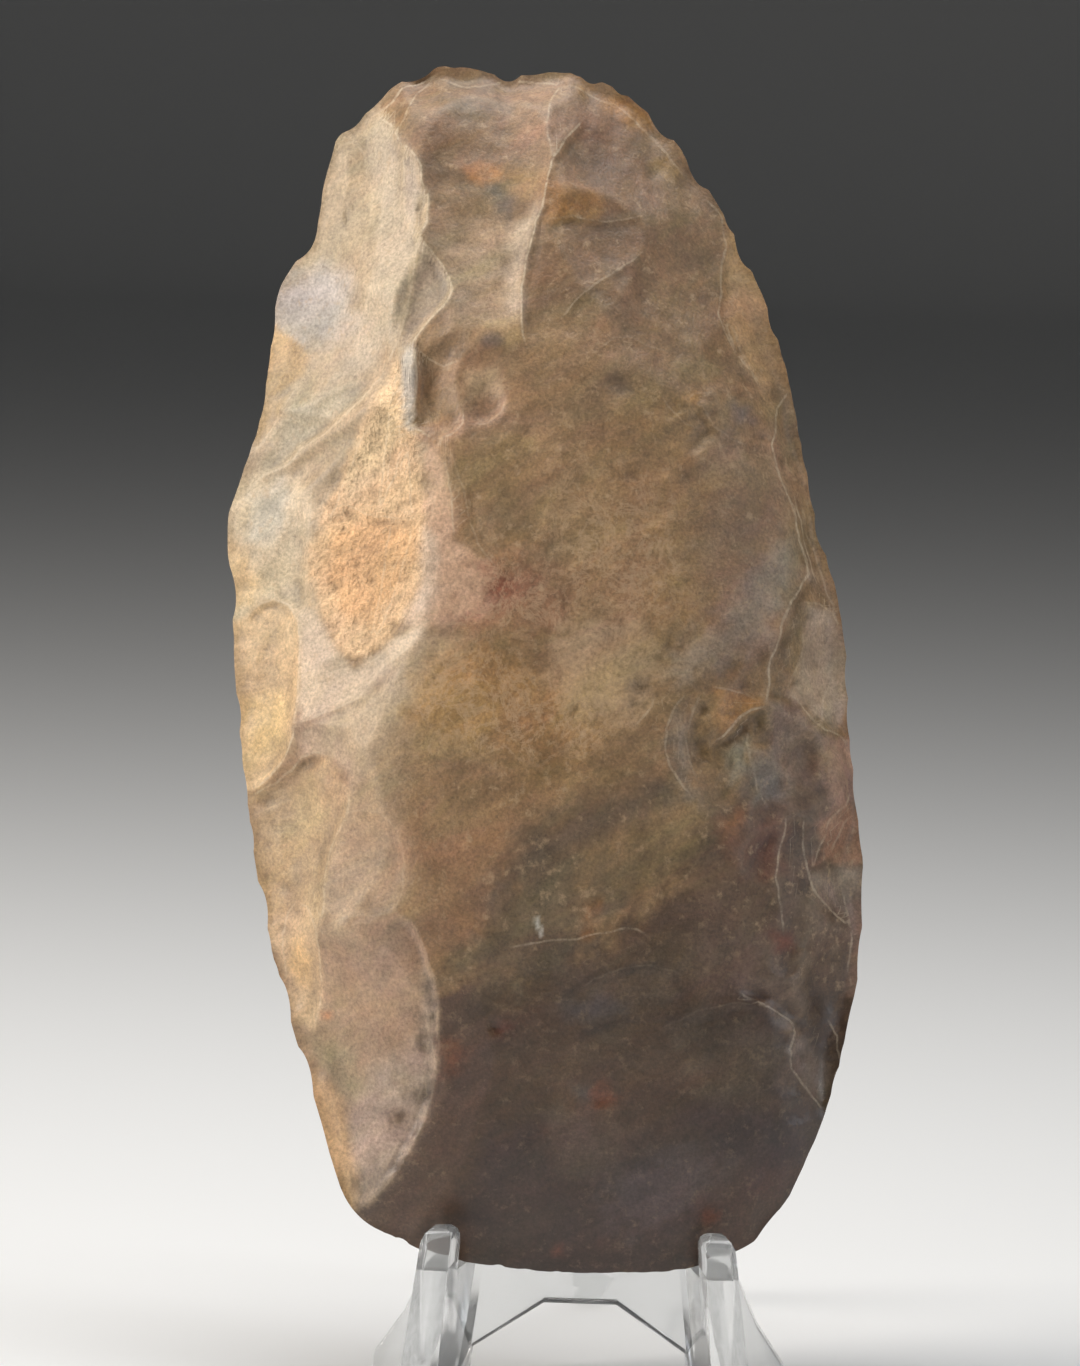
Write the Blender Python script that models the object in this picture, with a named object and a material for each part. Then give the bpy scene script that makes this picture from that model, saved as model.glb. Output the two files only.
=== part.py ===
"""A flaked and ground stone axe head standing in a clear moulded easel.

Metres, +Z up. The front faces -Y and the width runs along X. The origin is under the middle of
the whole object, on the surface that the easel stands on.
"""
import math
from collections import namedtuple

import bmesh
import bpy
import numpy as np
from mathutils import Matrix, Vector
from mathutils.bvhtree import BVHTree

# The stone head
HEAD_LENGTH = 0.150
HEAD_FRONT_BULGE = 0.0150
HEAD_BACK_BULGE = 0.0135
HEAD_LEAN = math.radians(12.0)
HEAD_TURN = math.radians(1.5)
HEAD_ASIDE = 0.0066

# The moulded easel
PRONG_SPREAD = 0.0341
PRONG_SPLAY = math.radians(6.0)
PRONG_TOP = 0.0231
PRONG_DEPTH = 0.0050
PRONG_ROUNDING = 0.0016
TIP_STEPS = 8
BAR_WIDTH = 0.0036
BAR_WIDENING = 0.0014
NOTCH_HEIGHT = 0.0170
NOTCH_AHEAD = 0.0036
ARM_FRONT = -(NOTCH_AHEAD + PRONG_DEPTH)
ARM_TOE_IN = math.radians(11.0)
FRAME_HEIGHT = 0.0720
FRAME_THICKNESS = 0.0032
FRAME_LEAN = math.radians(15.0)
FRAME_TOP_WIDTH = 0.0140
FRAME_NECK_WIDTH = 0.0360
FOOT_SPREAD = 0.0508
FOOT_HEIGHT = 0.0084
FOOT_SIDE_HEIGHT = 0.0036
FOOT_FLARE = 0.0040
ARCH_WIDTH = 0.0300
ARCH_TOP_WIDTH = 0.0090
ARCH_HEIGHT = 0.0105
ARCH_SIDE_HEIGHT = 0.0038
WEB_HEIGHT = 0.0170
RAIL_WIDTH = 0.0070
CROWN_DEPTH = 0.0120
CROWN_STEPS = 8
WINDOW_LEAST_WIDTH = 0.0020
LEG_REACH = 0.0620
LEG_WIDTH = 0.0050
LEG_THICKNESS = 0.0032
LEG_FOOT_WIDTH = 0.0120
LEG_FOOT_HEIGHT = 0.0041
LEG_FOOT_SHOULDER = 0.0008
LEG_TOP_BELOW_FRAME = 0.0060

# The stone rests on the arms and against the frame with this gap to each
REST_GAP = 0.0003

# How closely the stone's underside and back are felt for the arms' and the frame's places
PROBES_ALONG = 81
PROBES_ACROSS = 21

# Fineness of the stone's mesh
HEAD_COLUMNS = 72
HEAD_ROWS = 108
HEAD_KEPT_SHARE = 0.26

# The stone's form keeps its proportions: every number from here to its flakes is in hundredths
# of the head's length, across to the right and up from its middle, seen from the front.
OUTLINE = [
    (-9.5, 50.1), (-15.9, 45.9), (-18.9, 41.5), (-19.2, 37.6), (-22.5, 31.0), (-23.4, 24.0),
    (-24.4, 18.8), (-26.4, 12.6), (-26.1, 4.5), (-25.0, -8.3), (-23.1, -20.7), (-18.3, -37.4),
    (-16.0, -44.2), (-11.1, -47.6), (-2.3, -49.6), (6.0, -49.9), (13.5, -49.0), (18.9, -45.7),
    (21.1, -41.6), (24.6, -31.5), (26.2, -21.0), (25.3, -8.3), (24.6, 2.0), (21.3, 16.7),
    (19.6, 25.1), (16.7, 33.4), (12.6, 40.8), (6.0, 48.0), (2.3, 49.5), (-4.0, 49.5),
]
HALF_WIDTH = 26.3
HALF_LENGTH = 50.0

# A flake scar is a shallow oval bowl. Its lean is to the right at its top, in degrees, and it is
# heavy on its right side, or on its left where the number is negative.
Flake = namedtuple("Flake", "across up half_width half_height lean depth heavy", defaults=[0.0])

# Each face has large flanks struck off first, and the smaller scars that cut into them
FRONT_FLANKS = {
    "upper left": Flake(-22.0, 39.0, 11.8, 10.5, 15, 3.0),
    "left shoulder": Flake(-25.0, 28.5, 13.5, 9.5, 18, 3.2),
    "left side": Flake(-30.0, 9.0, 20.5, 20.0, 4, 3.6),
    "lower left side": Flake(-28.0, -13.0, 14.5, 14.0, 0, 3.0),
    "great lower left": Flake(-22.5, -33.5, 14.0, 13.0, -4, 2.6),
    "upper right": Flake(18.0, 43.0, 16.5, 20.0, -38, 2.6),
    "right shoulder": Flake(24.0, 26.0, 11.0, 14.0, -12, 2.2),
    "right side": Flake(31.0, 4.0, 10.5, 20.0, -8, 2.6),
    "lower right side": Flake(30.0, -24.0, 8.5, 20.0, 6, 2.2),
    "butt": Flake(-4.0, 54.0, 12.0, 7.0, 0, 1.6),
}
FRONT_SCARS = {
    "upper left scar": Flake(-16.6, 40.4, 5.8, 8.8, 15, 0.8),
    "shoulder scar": Flake(-18.6, 29.6, 7.6, 7.2, 20, 0.8),
    "ochre corner": Flake(-22.0, 25.2, 3.4, 4.2, -10, 0.7),
    "wedge beside the ridge": Flake(-10.2, 30.8, 3.0, 5.8, 16, 0.9, -0.5),
    "upper middle scar": Flake(-5.4, 38.4, 5.8, 11.0, 3, 1.1, -0.3),
    "upper right scar": Flake(6.0, 43.4, 6.8, 5.4, 20, 1.0),
    "right brow scar": Flake(5.0, 34.8, 5.6, 3.6, 62, 0.7, -0.4),
    "right shoulder scar": Flake(11.4, 29.6, 6.4, 8.2, -24, 1.0, 0.4),
    "right shoulder edge": Flake(17.4, 30.4, 2.8, 7.0, -14, 0.9),
    "stepped scar": Flake(-8.4, 23.0, 2.9, 4.4, 4, 0.7, -0.7),
    "second stepped scar": Flake(-5.0, 22.4, 3.0, 3.8, -8, 0.6, -0.7),
    "upper left furrow": Flake(-20.4, 20.2, 2.1, 8.0, 57, 0.9),
    "lower left furrow": Flake(-20.8, 16.4, 1.9, 7.2, 52, 0.9),
    "cortex hollow": Flake(-14.8, 11.2, 5.4, 11.8, 6, 0.7),
    "left margin scar": Flake(-22.8, 10.0, 3.6, 6.6, 0, 0.9),
    "golden scar": Flake(-24.2, -1.9, 3.8, 7.6, -4, 1.1),
    "pale band": Flake(-17.0, -4.2, 3.8, 8.0, 26, 0.6),
    "tan scar": Flake(-21.5, -15.0, 4.6, 7.4, 0, 1.1),
    "faint oval scar": Flake(-14.6, -16.9, 3.8, 4.8, 0, 0.5),
    "lower left margin scar": Flake(-20.9, -24.8, 2.6, 5.6, -8, 0.8),
    "right lens scar": Flake(20.2, 18.9, 1.6, 3.1, -12, 0.7),
    "right margin strip": Flake(22.8, 12.0, 2.3, 9.2, -13, 0.8),
    "right notch": Flake(16.8, -4.2, 2.6, 1.8, 60, 0.6, 0.5),
    "right middle edge scar": Flake(22.4, -0.7, 3.9, 6.3, -10, 1.1),
    "right bowl": Flake(17.6, -8.4, 7.2, 5.2, 10, 0.6, 0.7),
    "right lower edge scar": Flake(24.0, -15.6, 4.2, 5.4, 0, 1.1),
    "right bit edge scar": Flake(23.4, -32.0, 3.4, 5.4, 10, 0.9),
    "left butt chip": Flake(-9.2, 48.6, 3.1, 2.2, 0, 0.6),
    "middle butt chip": Flake(-2.0, 48.8, 4.0, 2.0, 0, 0.6),
    "right butt chip": Flake(4.6, 47.8, 2.8, 2.0, -20, 0.6),
}
BACK_FLANKS = {
    "upper right": Flake(20.0, 38.0, 13.0, 13.0, -20, 3.0),
    "right side": Flake(28.0, 14.0, 16.0, 18.0, -6, 3.2),
    "lower right side": Flake(29.0, -12.0, 13.5, 17.0, 6, 2.8),
    "right bit": Flake(25.0, -34.0, 11.0, 12.0, 14, 2.2),
    "upper left": Flake(-19.5, 38.0, 13.0, 12.0, 22, 3.0),
    "left side": Flake(-28.5, 12.0, 17.0, 19.0, 2, 3.4),
    "lower left side": Flake(-29.0, -14.0, 14.0, 16.0, -4, 2.8),
    "left bit": Flake(-24.0, -34.0, 10.0, 12.0, -10, 2.0),
    "butt": Flake(0.0, 55.0, 14.0, 9.0, 0, 2.0),
}
BACK_SCARS = {
    "upper right scar": Flake(12.6, 36.4, 6.8, 9.6, -22, 0.9),
    "right shoulder scar": Flake(18.0, 26.0, 5.0, 6.4, -40, 0.9, 0.4),
    "middle right scar": Flake(16.6, 14.4, 7.0, 6.2, -14, 0.8),
    "right belly scar": Flake(21.6, 3.0, 5.2, 6.6, 4, 1.0),
    "lower right scar": Flake(19.6, -11.0, 6.0, 8.2, 8, 0.9, 0.4),
    "right bit scar": Flake(20.6, -27.0, 4.4, 7.2, 14, 0.8),
    "butt scar": Flake(1.6, 42.6, 7.0, 6.8, 6, 1.0),
    "upper left scar": Flake(-12.6, 37.4, 6.2, 8.0, 24, 0.9),
    "left shoulder scar": Flake(-18.0, 24.0, 6.6, 7.4, 12, 0.9, -0.4),
    "middle ridge scar": Flake(-3.6, 27.6, 6.0, 9.6, -16, 0.8, -0.3),
    "left belly scar": Flake(-20.0, 7.0, 6.4, 7.6, -6, 0.9),
    "left inner scar": Flake(-11.8, -3.6, 4.6, 7.0, 24, 0.6),
    "lower left scar": Flake(-20.4, -12.6, 5.4, 8.4, -12, 0.9),
    "left bit scar": Flake(-18.4, -28.4, 4.4, 7.6, -14, 0.8),
    "small crest scar": Flake(5.6, 24.0, 3.4, 5.6, 30, 0.6, 0.5),
}

# The body under the flakes: how full its side and its middle are, and how the bit thins
BODY_POWER = 2.5
BODY_FULLNESS = 0.66
BIT_THINNING = 0.34
BIT_START = -12.0

# The scars never take the whole body: this share of it stays as the edge's wedge, with this
# softness where the scars run out on it, and at the rim the two faces blend into one edge
WEDGE_SHARE = 0.30
WEDGE_SOFTNESS = 0.20
RIM_BLEND = 40.0

# How far the flakes' outlines stray from true ovals
WANDER = 0.45


def clear_scene():
    for old in list(bpy.data.objects):
        bpy.data.objects.remove(old, do_unlink=True)


def material(name, colour, roughness, alpha=1.0):
    made = bpy.data.materials.new(name)
    made.use_nodes = True
    surface = made.node_tree.nodes["Principled BSDF"]
    surface.inputs["Base Color"].default_value = (*colour, 1.0)
    surface.inputs["Roughness"].default_value = roughness
    surface.inputs["Metallic"].default_value = 0.0
    surface.inputs["Alpha"].default_value = alpha
    return made


def new_object(name, shape, surface):
    """Turn a bmesh into an object in the scene."""
    mesh = bpy.data.meshes.new(name)
    shape.to_mesh(mesh)
    shape.free()
    made = bpy.data.objects.new(name, mesh)
    bpy.context.collection.objects.link(made)
    mesh.materials.append(surface)
    return made


def smoothstep(low, high, values):
    share = np.clip((values - low) / (high - low), 0.0, 1.0)
    return share * share * (3.0 - 2.0 * share)


def outline_reach(angles):
    """How far the outline reaches at each angle, as a share of the plain ellipse."""
    points = np.array(OUTLINE) / (HALF_WIDTH, HALF_LENGTH)
    knots = np.arctan2(points[:, 1], points[:, 0])
    order = np.argsort(knots)
    knots = knots[order]
    reach = np.hypot(points[:, 0], points[:, 1])[order]
    turn = 2.0 * math.pi
    knots = np.concatenate([knots[-2:] - turn, knots, knots[:2] + turn])
    reach = np.concatenate([reach[-2:], reach, reach[:2]])
    slopes = np.gradient(reach, knots)
    low = np.clip(np.searchsorted(knots, angles) - 1, 1, len(knots) - 3)
    span = knots[low + 1] - knots[low]
    t = (angles - knots[low]) / span
    start = (1 + 2 * t) * (1 - t) ** 2 * reach[low] + t * (1 - t) ** 2 * span * slopes[low]
    end = t * t * (3 - 2 * t) * reach[low + 1] + t * t * (t - 1) * span * slopes[low + 1]
    return start + end


def disc_from_square(a, b):
    """Map a square to a disc with rings kept as rings; gives radius and angle."""
    flat = np.abs(a) >= np.abs(b)
    safe_a = np.where(flat & (a != 0), a, 1.0)
    safe_b = np.where(~flat, b, 1.0)
    angle_flat = (math.pi / 4) * (b / safe_a) + np.where(a < 0, math.pi, 0.0)
    angle_steep = math.pi / 2 - (math.pi / 4) * (a / safe_b) + np.where(b < 0, math.pi, 0.0)
    radius = np.where(flat, np.abs(a), np.abs(b))
    angle = np.where(flat, angle_flat, angle_steep)
    return radius, (angle + math.pi) % (2 * math.pi) - math.pi


def wander(across, up):
    """Bend the flakes' outlines a little, so that none is a true oval."""
    sideways = np.sin(0.38 * up + 0.21 * across + 0.4) + 0.3 * np.sin(1.1 * across - 0.7 * up + 2.1)
    upward = np.sin(0.34 * across - 0.29 * up + 1.7) + 0.3 * np.sin(1.0 * up + 0.8 * across + 0.9)
    return across + WANDER * sideways, up + WANDER * upward


def flake_depth(flakes, across, up):
    """The deepest of the flake scars at each place."""
    across, up = wander(across, up)
    deepest = np.zeros_like(across)
    for flake in flakes.values():
        lean = math.radians(flake.lean)
        right = across - flake.across
        above = up - flake.up
        along = (right * math.sin(lean) + above * math.cos(lean)) / flake.half_height
        beside = (right * math.cos(lean) - above * math.sin(lean)) / flake.half_width
        bowl = np.clip(1.0 - along ** 2 - beside ** 2, 0.0, 1.0) * (1.0 + flake.heavy * beside)
        deepest = np.maximum(deepest, flake.depth * bowl)
    return deepest


def struck(body, cut, radius):
    """The body less its scars, which leave the rim a wedge."""
    left = body - cut
    wedge = WEDGE_SHARE * body
    soft = WEDGE_SOFTNESS * body * radius ** 2
    return (left + wedge + np.sqrt((left - wedge) ** 2 + soft ** 2)) / 2


def face_height(flanks, scars, bulge, radius, across, up):
    """Height of one face over the plane of the edge, in hundredths of the length."""
    body = bulge * np.clip(1.0 - radius ** BODY_POWER, 0.0, 1.0) ** BODY_FULLNESS
    body = body * (1.0 - BIT_THINNING * smoothstep(BIT_START, -HALF_LENGTH, up))
    cut = flake_depth(flanks, across, up) + flake_depth(scars, across, up)
    return struck(body, cut, radius)


def head_sheets():
    """Corner coordinates of the front and back faces, which share the rim."""
    a, b = np.meshgrid(
        np.linspace(-1.0, 1.0, HEAD_COLUMNS + 1), np.linspace(-1.0, 1.0, HEAD_ROWS + 1))
    radius, angle = disc_from_square(a, b)
    reach = outline_reach(angle.ravel()).reshape(angle.shape) * radius
    across = HALF_WIDTH * reach * np.cos(angle)
    up = HALF_LENGTH * reach * np.sin(angle)
    to_hundredths = 100.0 / HEAD_LENGTH
    place = (radius, across, up)
    front = -face_height(FRONT_FLANKS, FRONT_SCARS, HEAD_FRONT_BULGE * to_hundredths, *place)
    back = face_height(BACK_FLANKS, BACK_SCARS, HEAD_BACK_BULGE * to_hundredths, *place)
    middle = (front + back) / 2
    blend = radius ** RIM_BLEND
    front = front * (1 - blend) + middle * blend
    back = back * (1 - blend) + middle * blend
    scale = 1.0 / to_hundredths
    return [np.stack([across, depth, up], axis=-1) * scale for depth in (front, back)]


def make_head(surface):
    shape = bmesh.new()
    for sheet, faces_back in zip(head_sheets(), (False, True)):
        rows, columns = sheet.shape[:2]
        corners = [[shape.verts.new(sheet[row, column]) for column in range(columns)]
                   for row in range(rows)]
        for row in range(rows - 1):
            for column in range(columns - 1):
                loop = [corners[row][column], corners[row][column + 1],
                        corners[row + 1][column + 1], corners[row + 1][column]]
                shape.faces.new(reversed(loop) if faces_back else loop)
    bmesh.ops.remove_doubles(shape, verts=shape.verts, dist=1e-6)
    bmesh.ops.triangulate(shape, faces=shape.faces)
    head = new_object("axe_head", shape, surface)
    fewer = head.modifiers.new("Fewer triangles", "DECIMATE")
    fewer.ratio = HEAD_KEPT_SHARE
    bpy.context.view_layer.update()
    graph = bpy.context.evaluated_depsgraph_get()
    head.data = bpy.data.meshes.new_from_object(head.evaluated_get(graph))
    head.modifiers.remove(fewer)
    pose = (Matrix.Translation((-HEAD_ASIDE, 0, 0)) @ Matrix.Rotation(-HEAD_LEAN, 4, "X")
            @ Matrix.Translation((0, 0, HEAD_LENGTH / 2)) @ Matrix.Rotation(-HEAD_TURN, 4, "Y"))
    head.data.transform(pose)
    return head


def prism(outline, thickness):
    """Close a flat outline of (x, z) points and give it a thickness in y, from y = 0 back."""
    shape = bmesh.new()
    face = shape.faces.new([shape.verts.new((x, 0.0, z)) for x, z in outline])
    grown = bmesh.ops.extrude_face_region(shape, geom=[face])
    moved = [item for item in grown["geom"] if isinstance(item, bmesh.types.BMVert)]
    bmesh.ops.translate(shape, verts=moved, vec=(0.0, thickness, 0.0))
    bmesh.ops.recalc_face_normals(shape, faces=shape.faces)
    return shape


def arc(centre, radius, start, end, steps):
    """Points of an arc from one angle to another, in degrees."""
    angles = [math.radians(start + (end - start) * step / steps) for step in range(steps + 1)]
    return [(centre[0] + radius * math.cos(angle), centre[1] + radius * math.sin(angle))
            for angle in angles]


def lean_back(shape, slope, start):
    """Lean an upright plate while its underside stays flat on the table."""
    for corner in shape.verts:
        corner.co.y += start + corner.co.z * slope


def frame_shape(setback):
    """The leaning back frame: two flared feet, an arch between them and a rounded crown."""
    half_foot = FOOT_SPREAD / 2
    half_neck = FRAME_NECK_WIDTH / 2
    half_crown = FRAME_TOP_WIDTH / 2
    half_arch = ARCH_WIDTH / 2
    half_arch_top = ARCH_TOP_WIDTH / 2
    ankle = half_neck + FOOT_FLARE
    right = [
        (half_arch, 0.0), (half_foot, 0.0), (half_foot, FOOT_SIDE_HEIGHT),
        (ankle, FOOT_HEIGHT), (half_neck, WEB_HEIGHT),
    ]
    crown = arc((0.0, FRAME_HEIGHT - half_crown), half_crown, 0, 180, CROWN_STEPS)
    left = [(-x, z) for x, z in reversed(right)]
    arch = [(-half_arch, ARCH_SIDE_HEIGHT), (-half_arch_top, ARCH_HEIGHT),
            (half_arch_top, ARCH_HEIGHT), (half_arch, ARCH_SIDE_HEIGHT)]
    shape = prism(right + crown + left + arch, FRAME_THICKNESS)
    lean_back(shape, math.tan(FRAME_LEAN), setback)
    return shape


def window_shape(setback):
    """The cutter for the tapering window between the frame's two rails."""
    crown_foot = FRAME_HEIGHT - FRAME_TOP_WIDTH / 2
    taper = (FRAME_NECK_WIDTH - FRAME_TOP_WIDTH) / 2 / (crown_foot - WEB_HEIGHT)
    sill = WEB_HEIGHT
    lintel = crown_foot - CROWN_DEPTH
    half_sill = FRAME_NECK_WIDTH / 2 - RAIL_WIDTH
    half_lintel = max(half_sill - taper * (lintel - sill), WINDOW_LEAST_WIDTH / 2)
    outline = [(half_sill, sill), (half_lintel, lintel), (-half_lintel, lintel), (-half_sill, sill)]
    shape = prism(outline, FRAME_THICKNESS * 3)
    lean_back(shape, math.tan(FRAME_LEAN), setback - FRAME_THICKNESS)
    return shape


def arm_middle(y, z):
    """How far an arm's middle is from the easel's, by its depth and height."""
    behind_front = y - ARM_FRONT
    below_top = PRONG_TOP - z
    return PRONG_SPREAD / 2 + below_top * math.tan(PRONG_SPLAY) - behind_front * math.tan(ARM_TOE_IN)


def arm_half_width(z):
    """Half an arm's width: a little wider at the table and rounded off at the prong's tip."""
    half = (BAR_WIDTH + BAR_WIDENING * (PRONG_TOP - z) / PRONG_TOP) / 2
    into_tip = max(z - (PRONG_TOP - PRONG_ROUNDING), 0.0)
    return half - PRONG_ROUNDING + math.sqrt(max(PRONG_ROUNDING ** 2 - into_tip ** 2, 0.0))


def arm_shape(side, setback):
    """One arm: an upright fin with a notch for the stone behind an upturned, rounded prong."""
    half_depth = PRONG_DEPTH / 2
    tip = arc((ARM_FRONT + half_depth, PRONG_TOP - half_depth), half_depth, 180, 0, TIP_STEPS)
    into_frame = FRAME_THICKNESS / 2
    back_at_notch = setback + NOTCH_HEIGHT * math.tan(FRAME_LEAN) + into_frame
    outline = [(ARM_FRONT, 0.0)] + tip + [
        (ARM_FRONT + PRONG_DEPTH, NOTCH_HEIGHT), (back_at_notch, NOTCH_HEIGHT),
        (setback + into_frame, 0.0)]
    shape = prism(outline, 1.0)
    bmesh.ops.bisect_plane(shape, geom=shape.verts[:] + shape.edges[:] + shape.faces[:],
                           plane_co=(0, 0, PRONG_TOP - half_depth), plane_no=(0, 0, 1))
    for corner in shape.verts:
        y, across, z = corner.co
        offset = (across * 2.0 - 1.0) * arm_half_width(z)
        corner.co = (side * (arm_middle(y, z) + offset), y, z)
    bmesh.ops.recalc_face_normals(shape, faces=shape.faces)
    return shape


def leg_shape(setback):
    """The rear leg: a straight stem from behind the crown down to a wide foot."""
    top = FRAME_HEIGHT - LEG_TOP_BELOW_FRAME
    half_stem = LEG_WIDTH / 2
    half_foot = LEG_FOOT_WIDTH / 2
    right = [
        (half_foot, 0.0), (half_foot, LEG_FOOT_HEIGHT - LEG_FOOT_SHOULDER),
        (half_foot - LEG_FOOT_SHOULDER * 2, LEG_FOOT_HEIGHT), (half_stem, LEG_FOOT_HEIGHT),
        (half_stem, top),
    ]
    shape = prism(right + [(-x, z) for x, z in reversed(right)], LEG_THICKNESS)
    front_at_top = setback + top * math.tan(FRAME_LEAN) + FRAME_THICKNESS / 4
    lean_back(shape, (front_at_top - LEG_REACH) / top, LEG_REACH)
    return shape


def cut_or_join(target, tool, operation):
    """Apply a Boolean of one object on another and leave only the target."""
    change = target.modifiers.new(operation.title(), "BOOLEAN")
    change.operation = operation
    change.solver = "EXACT"
    change.object = tool
    tool.hide_render = True
    tool.display_type = "WIRE"
    bpy.context.view_layer.update()
    graph = bpy.context.evaluated_depsgraph_get()
    shaped = bpy.data.meshes.new_from_object(target.evaluated_get(graph))
    target.modifiers.remove(change)
    target.data = shaped
    bpy.data.objects.remove(tool, do_unlink=True)


def make_easel(surface, setback):
    easel = new_object("display_easel", frame_shape(setback), surface)
    cut_or_join(easel, new_object("window cutter", window_shape(setback), surface), "DIFFERENCE")
    for side, name in ((-1, "left arm"), (1, "right arm")):
        cut_or_join(easel, new_object(name, arm_shape(side, setback), surface), "UNION")
    cut_or_join(easel, new_object("rear leg", leg_shape(setback), surface), "UNION")
    return easel


def skin_tree(piece):
    """A piece's surface, ready for rays."""
    return BVHTree.FromPolygons([corner.co for corner in piece.data.vertices],
                                [face.vertices for face in piece.data.polygons])


def rest_on_arms(head):
    """Raise the stone until its lower edge is one gap above the nearer notch."""
    skin = skin_tree(head)
    lowest = math.inf
    for side in (-1, 1):
        for y in np.linspace(ARM_FRONT + PRONG_DEPTH, -ARM_FRONT, PROBES_ALONG):
            middle = side * arm_middle(y, NOTCH_HEIGHT)
            for x in np.linspace(-1, 1, PROBES_ACROSS) * arm_half_width(NOTCH_HEIGHT) + middle:
                hit = skin.ray_cast(Vector((x, y, -HEAD_LENGTH)), Vector((0, 0, 1)))[0]
                if hit is not None:
                    lowest = min(lowest, hit.z)
    head.data.transform(Matrix.Translation((0, 0, NOTCH_HEIGHT + REST_GAP - lowest)))


def frame_setback(head):
    """Where the frame's front meets the table so that it clears the stone's back by the gap."""
    skin = skin_tree(head)
    slope = math.tan(FRAME_LEAN)
    farthest = -math.inf
    for x in np.linspace(-FRAME_NECK_WIDTH / 2, FRAME_NECK_WIDTH / 2, PROBES_ACROSS):
        for z in np.linspace(0, FRAME_HEIGHT, PROBES_ALONG):
            hit = skin.ray_cast(Vector((x, HEAD_LENGTH, z)), Vector((0, -1, 0)))[0]
            if hit is not None:
                farthest = max(farthest, hit.y - z * slope)
    return farthest + REST_GAP / math.cos(FRAME_LEAN)


def centre_on_origin(pieces):
    """Hold all pieces on an empty that puts the middle of their base at the origin."""
    corners = np.array([corner.co for piece in pieces for corner in piece.data.vertices])
    middle = (corners.min(axis=0) + corners.max(axis=0)) / 2
    holder = bpy.data.objects.new("hand_axe_on_easel", None)
    bpy.context.collection.objects.link(holder)
    holder.location = (-middle[0], -middle[1], 0.0)
    for piece in pieces:
        piece.parent = holder


def main():
    clear_scene()
    stone = material("flaked brown stone", (0.28, 0.19, 0.12), 0.55)
    plastic = material("clear plastic", (0.86, 0.88, 0.90), 0.15, alpha=0.35)
    head = make_head(stone)
    rest_on_arms(head)
    easel = make_easel(plastic, frame_setback(head))
    centre_on_origin([head, easel])


main()
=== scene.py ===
"""A flaked and partly ground stone axe head, standing in a clear moulded easel."""

import math
import random
from collections import namedtuple

import bpy
import numpy as np
from mathutils import Matrix, Vector, noise


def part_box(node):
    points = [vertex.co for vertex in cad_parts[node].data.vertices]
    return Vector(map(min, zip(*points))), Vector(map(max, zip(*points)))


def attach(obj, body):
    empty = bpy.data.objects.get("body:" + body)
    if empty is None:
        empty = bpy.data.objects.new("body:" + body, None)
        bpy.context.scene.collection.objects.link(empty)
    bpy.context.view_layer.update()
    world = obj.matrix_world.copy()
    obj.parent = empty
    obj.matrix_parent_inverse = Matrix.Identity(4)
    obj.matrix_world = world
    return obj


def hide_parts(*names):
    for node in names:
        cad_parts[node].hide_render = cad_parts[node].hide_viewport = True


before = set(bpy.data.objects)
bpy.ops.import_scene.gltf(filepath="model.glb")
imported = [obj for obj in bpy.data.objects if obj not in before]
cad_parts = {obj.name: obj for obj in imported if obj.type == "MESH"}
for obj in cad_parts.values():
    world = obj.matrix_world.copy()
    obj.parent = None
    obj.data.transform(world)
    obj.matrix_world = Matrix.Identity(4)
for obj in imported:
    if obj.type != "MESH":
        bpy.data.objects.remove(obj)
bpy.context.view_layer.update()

bl_info = {
    "name": "Stone axe head on a clear easel",
    "version": (1, 0, 0),
    "blender": (4, 5, 0),
    "location": "View3D > Sidebar > Stone Axe",
    "description": "Knaps, grinds and stains a stone axe head, and moulds the easel it stands in",
    "category": "Add Mesh",
}

MILLIMETRE = 0.001

# The stone's size and pose, as in the solid
HEAD_LENGTH = 0.150
HEAD_FRONT_BULGE = 0.0150
HEAD_BACK_BULGE = 0.0135
HEAD_LEAN = math.radians(12.0)
HEAD_TURN = math.radians(1.5)
HUNDREDTH = HEAD_LENGTH / 100.0

# The camera of the photograph: its height over the table, distance, and how it is turned
PHOTO_WIDTH = 1080
PHOTO_HEIGHT = 1366
PHOTO_PIXELS_PER_MM = 8.0
VIEW_SIDEWAYS = math.radians(2.0)
VIEW_DOWN = math.radians(6.0)
VIEW_ROLL = math.radians(1.5)
LENS_MM = 150.0
SENSOR_MM = 36.0
VIEW_FIELD = PHOTO_HEIGHT / PHOTO_PIXELS_PER_MM * MILLIMETRE
VIEW_NEARER = 0.991
VIEW_DISTANCE = VIEW_FIELD * LENS_MM / SENSOR_MM * VIEW_NEARER
VIEW_CENTRE_X = -0.0006
VIEW_CENTRE_Y = -0.0124
VIEW_CENTRE_Z = 0.0871

# The lights: where each hangs, its sides, its colour, and the setting that holds its power
LIGHTS = {
    "main light": ((-0.92, -0.32, 0.50), (0.34, 0.46), "#FFF9F2", "key_watts"),
    "fill light": ((0.90, -0.36, 0.30), (0.22, 0.50), "#F4F8FF", "fill_watts"),
    "top light": ((0.0, 0.0, 0.60), (0.42, 0.30), "#FFFFFF", "top_watts"),
}
LIGHT_TARGET = (0.0, -0.01, 0.08)
ROOM_COLOUR = "#E9ECEE"

# The board behind the easel: where it starts to curve up, how wide the curve is, and its wall
SWEEP_START = 3.4
SWEEP_RADIUS = 0.7
SWEEP_STEPS = 16
SWEEP_WALL = 1.6

# Where the stone's middle lies in the photograph, and how many of its pixels are a hundredth of
# the stone's length
STONE_MIDDLE_X = 548.0
STONE_MIDDLE_Y = 667.0
PIXELS_PER_HUNDREDTH = 12.0

# Fineness of the stone's mesh
HEAD_COLUMNS = 150
HEAD_ROWS = 300

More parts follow.
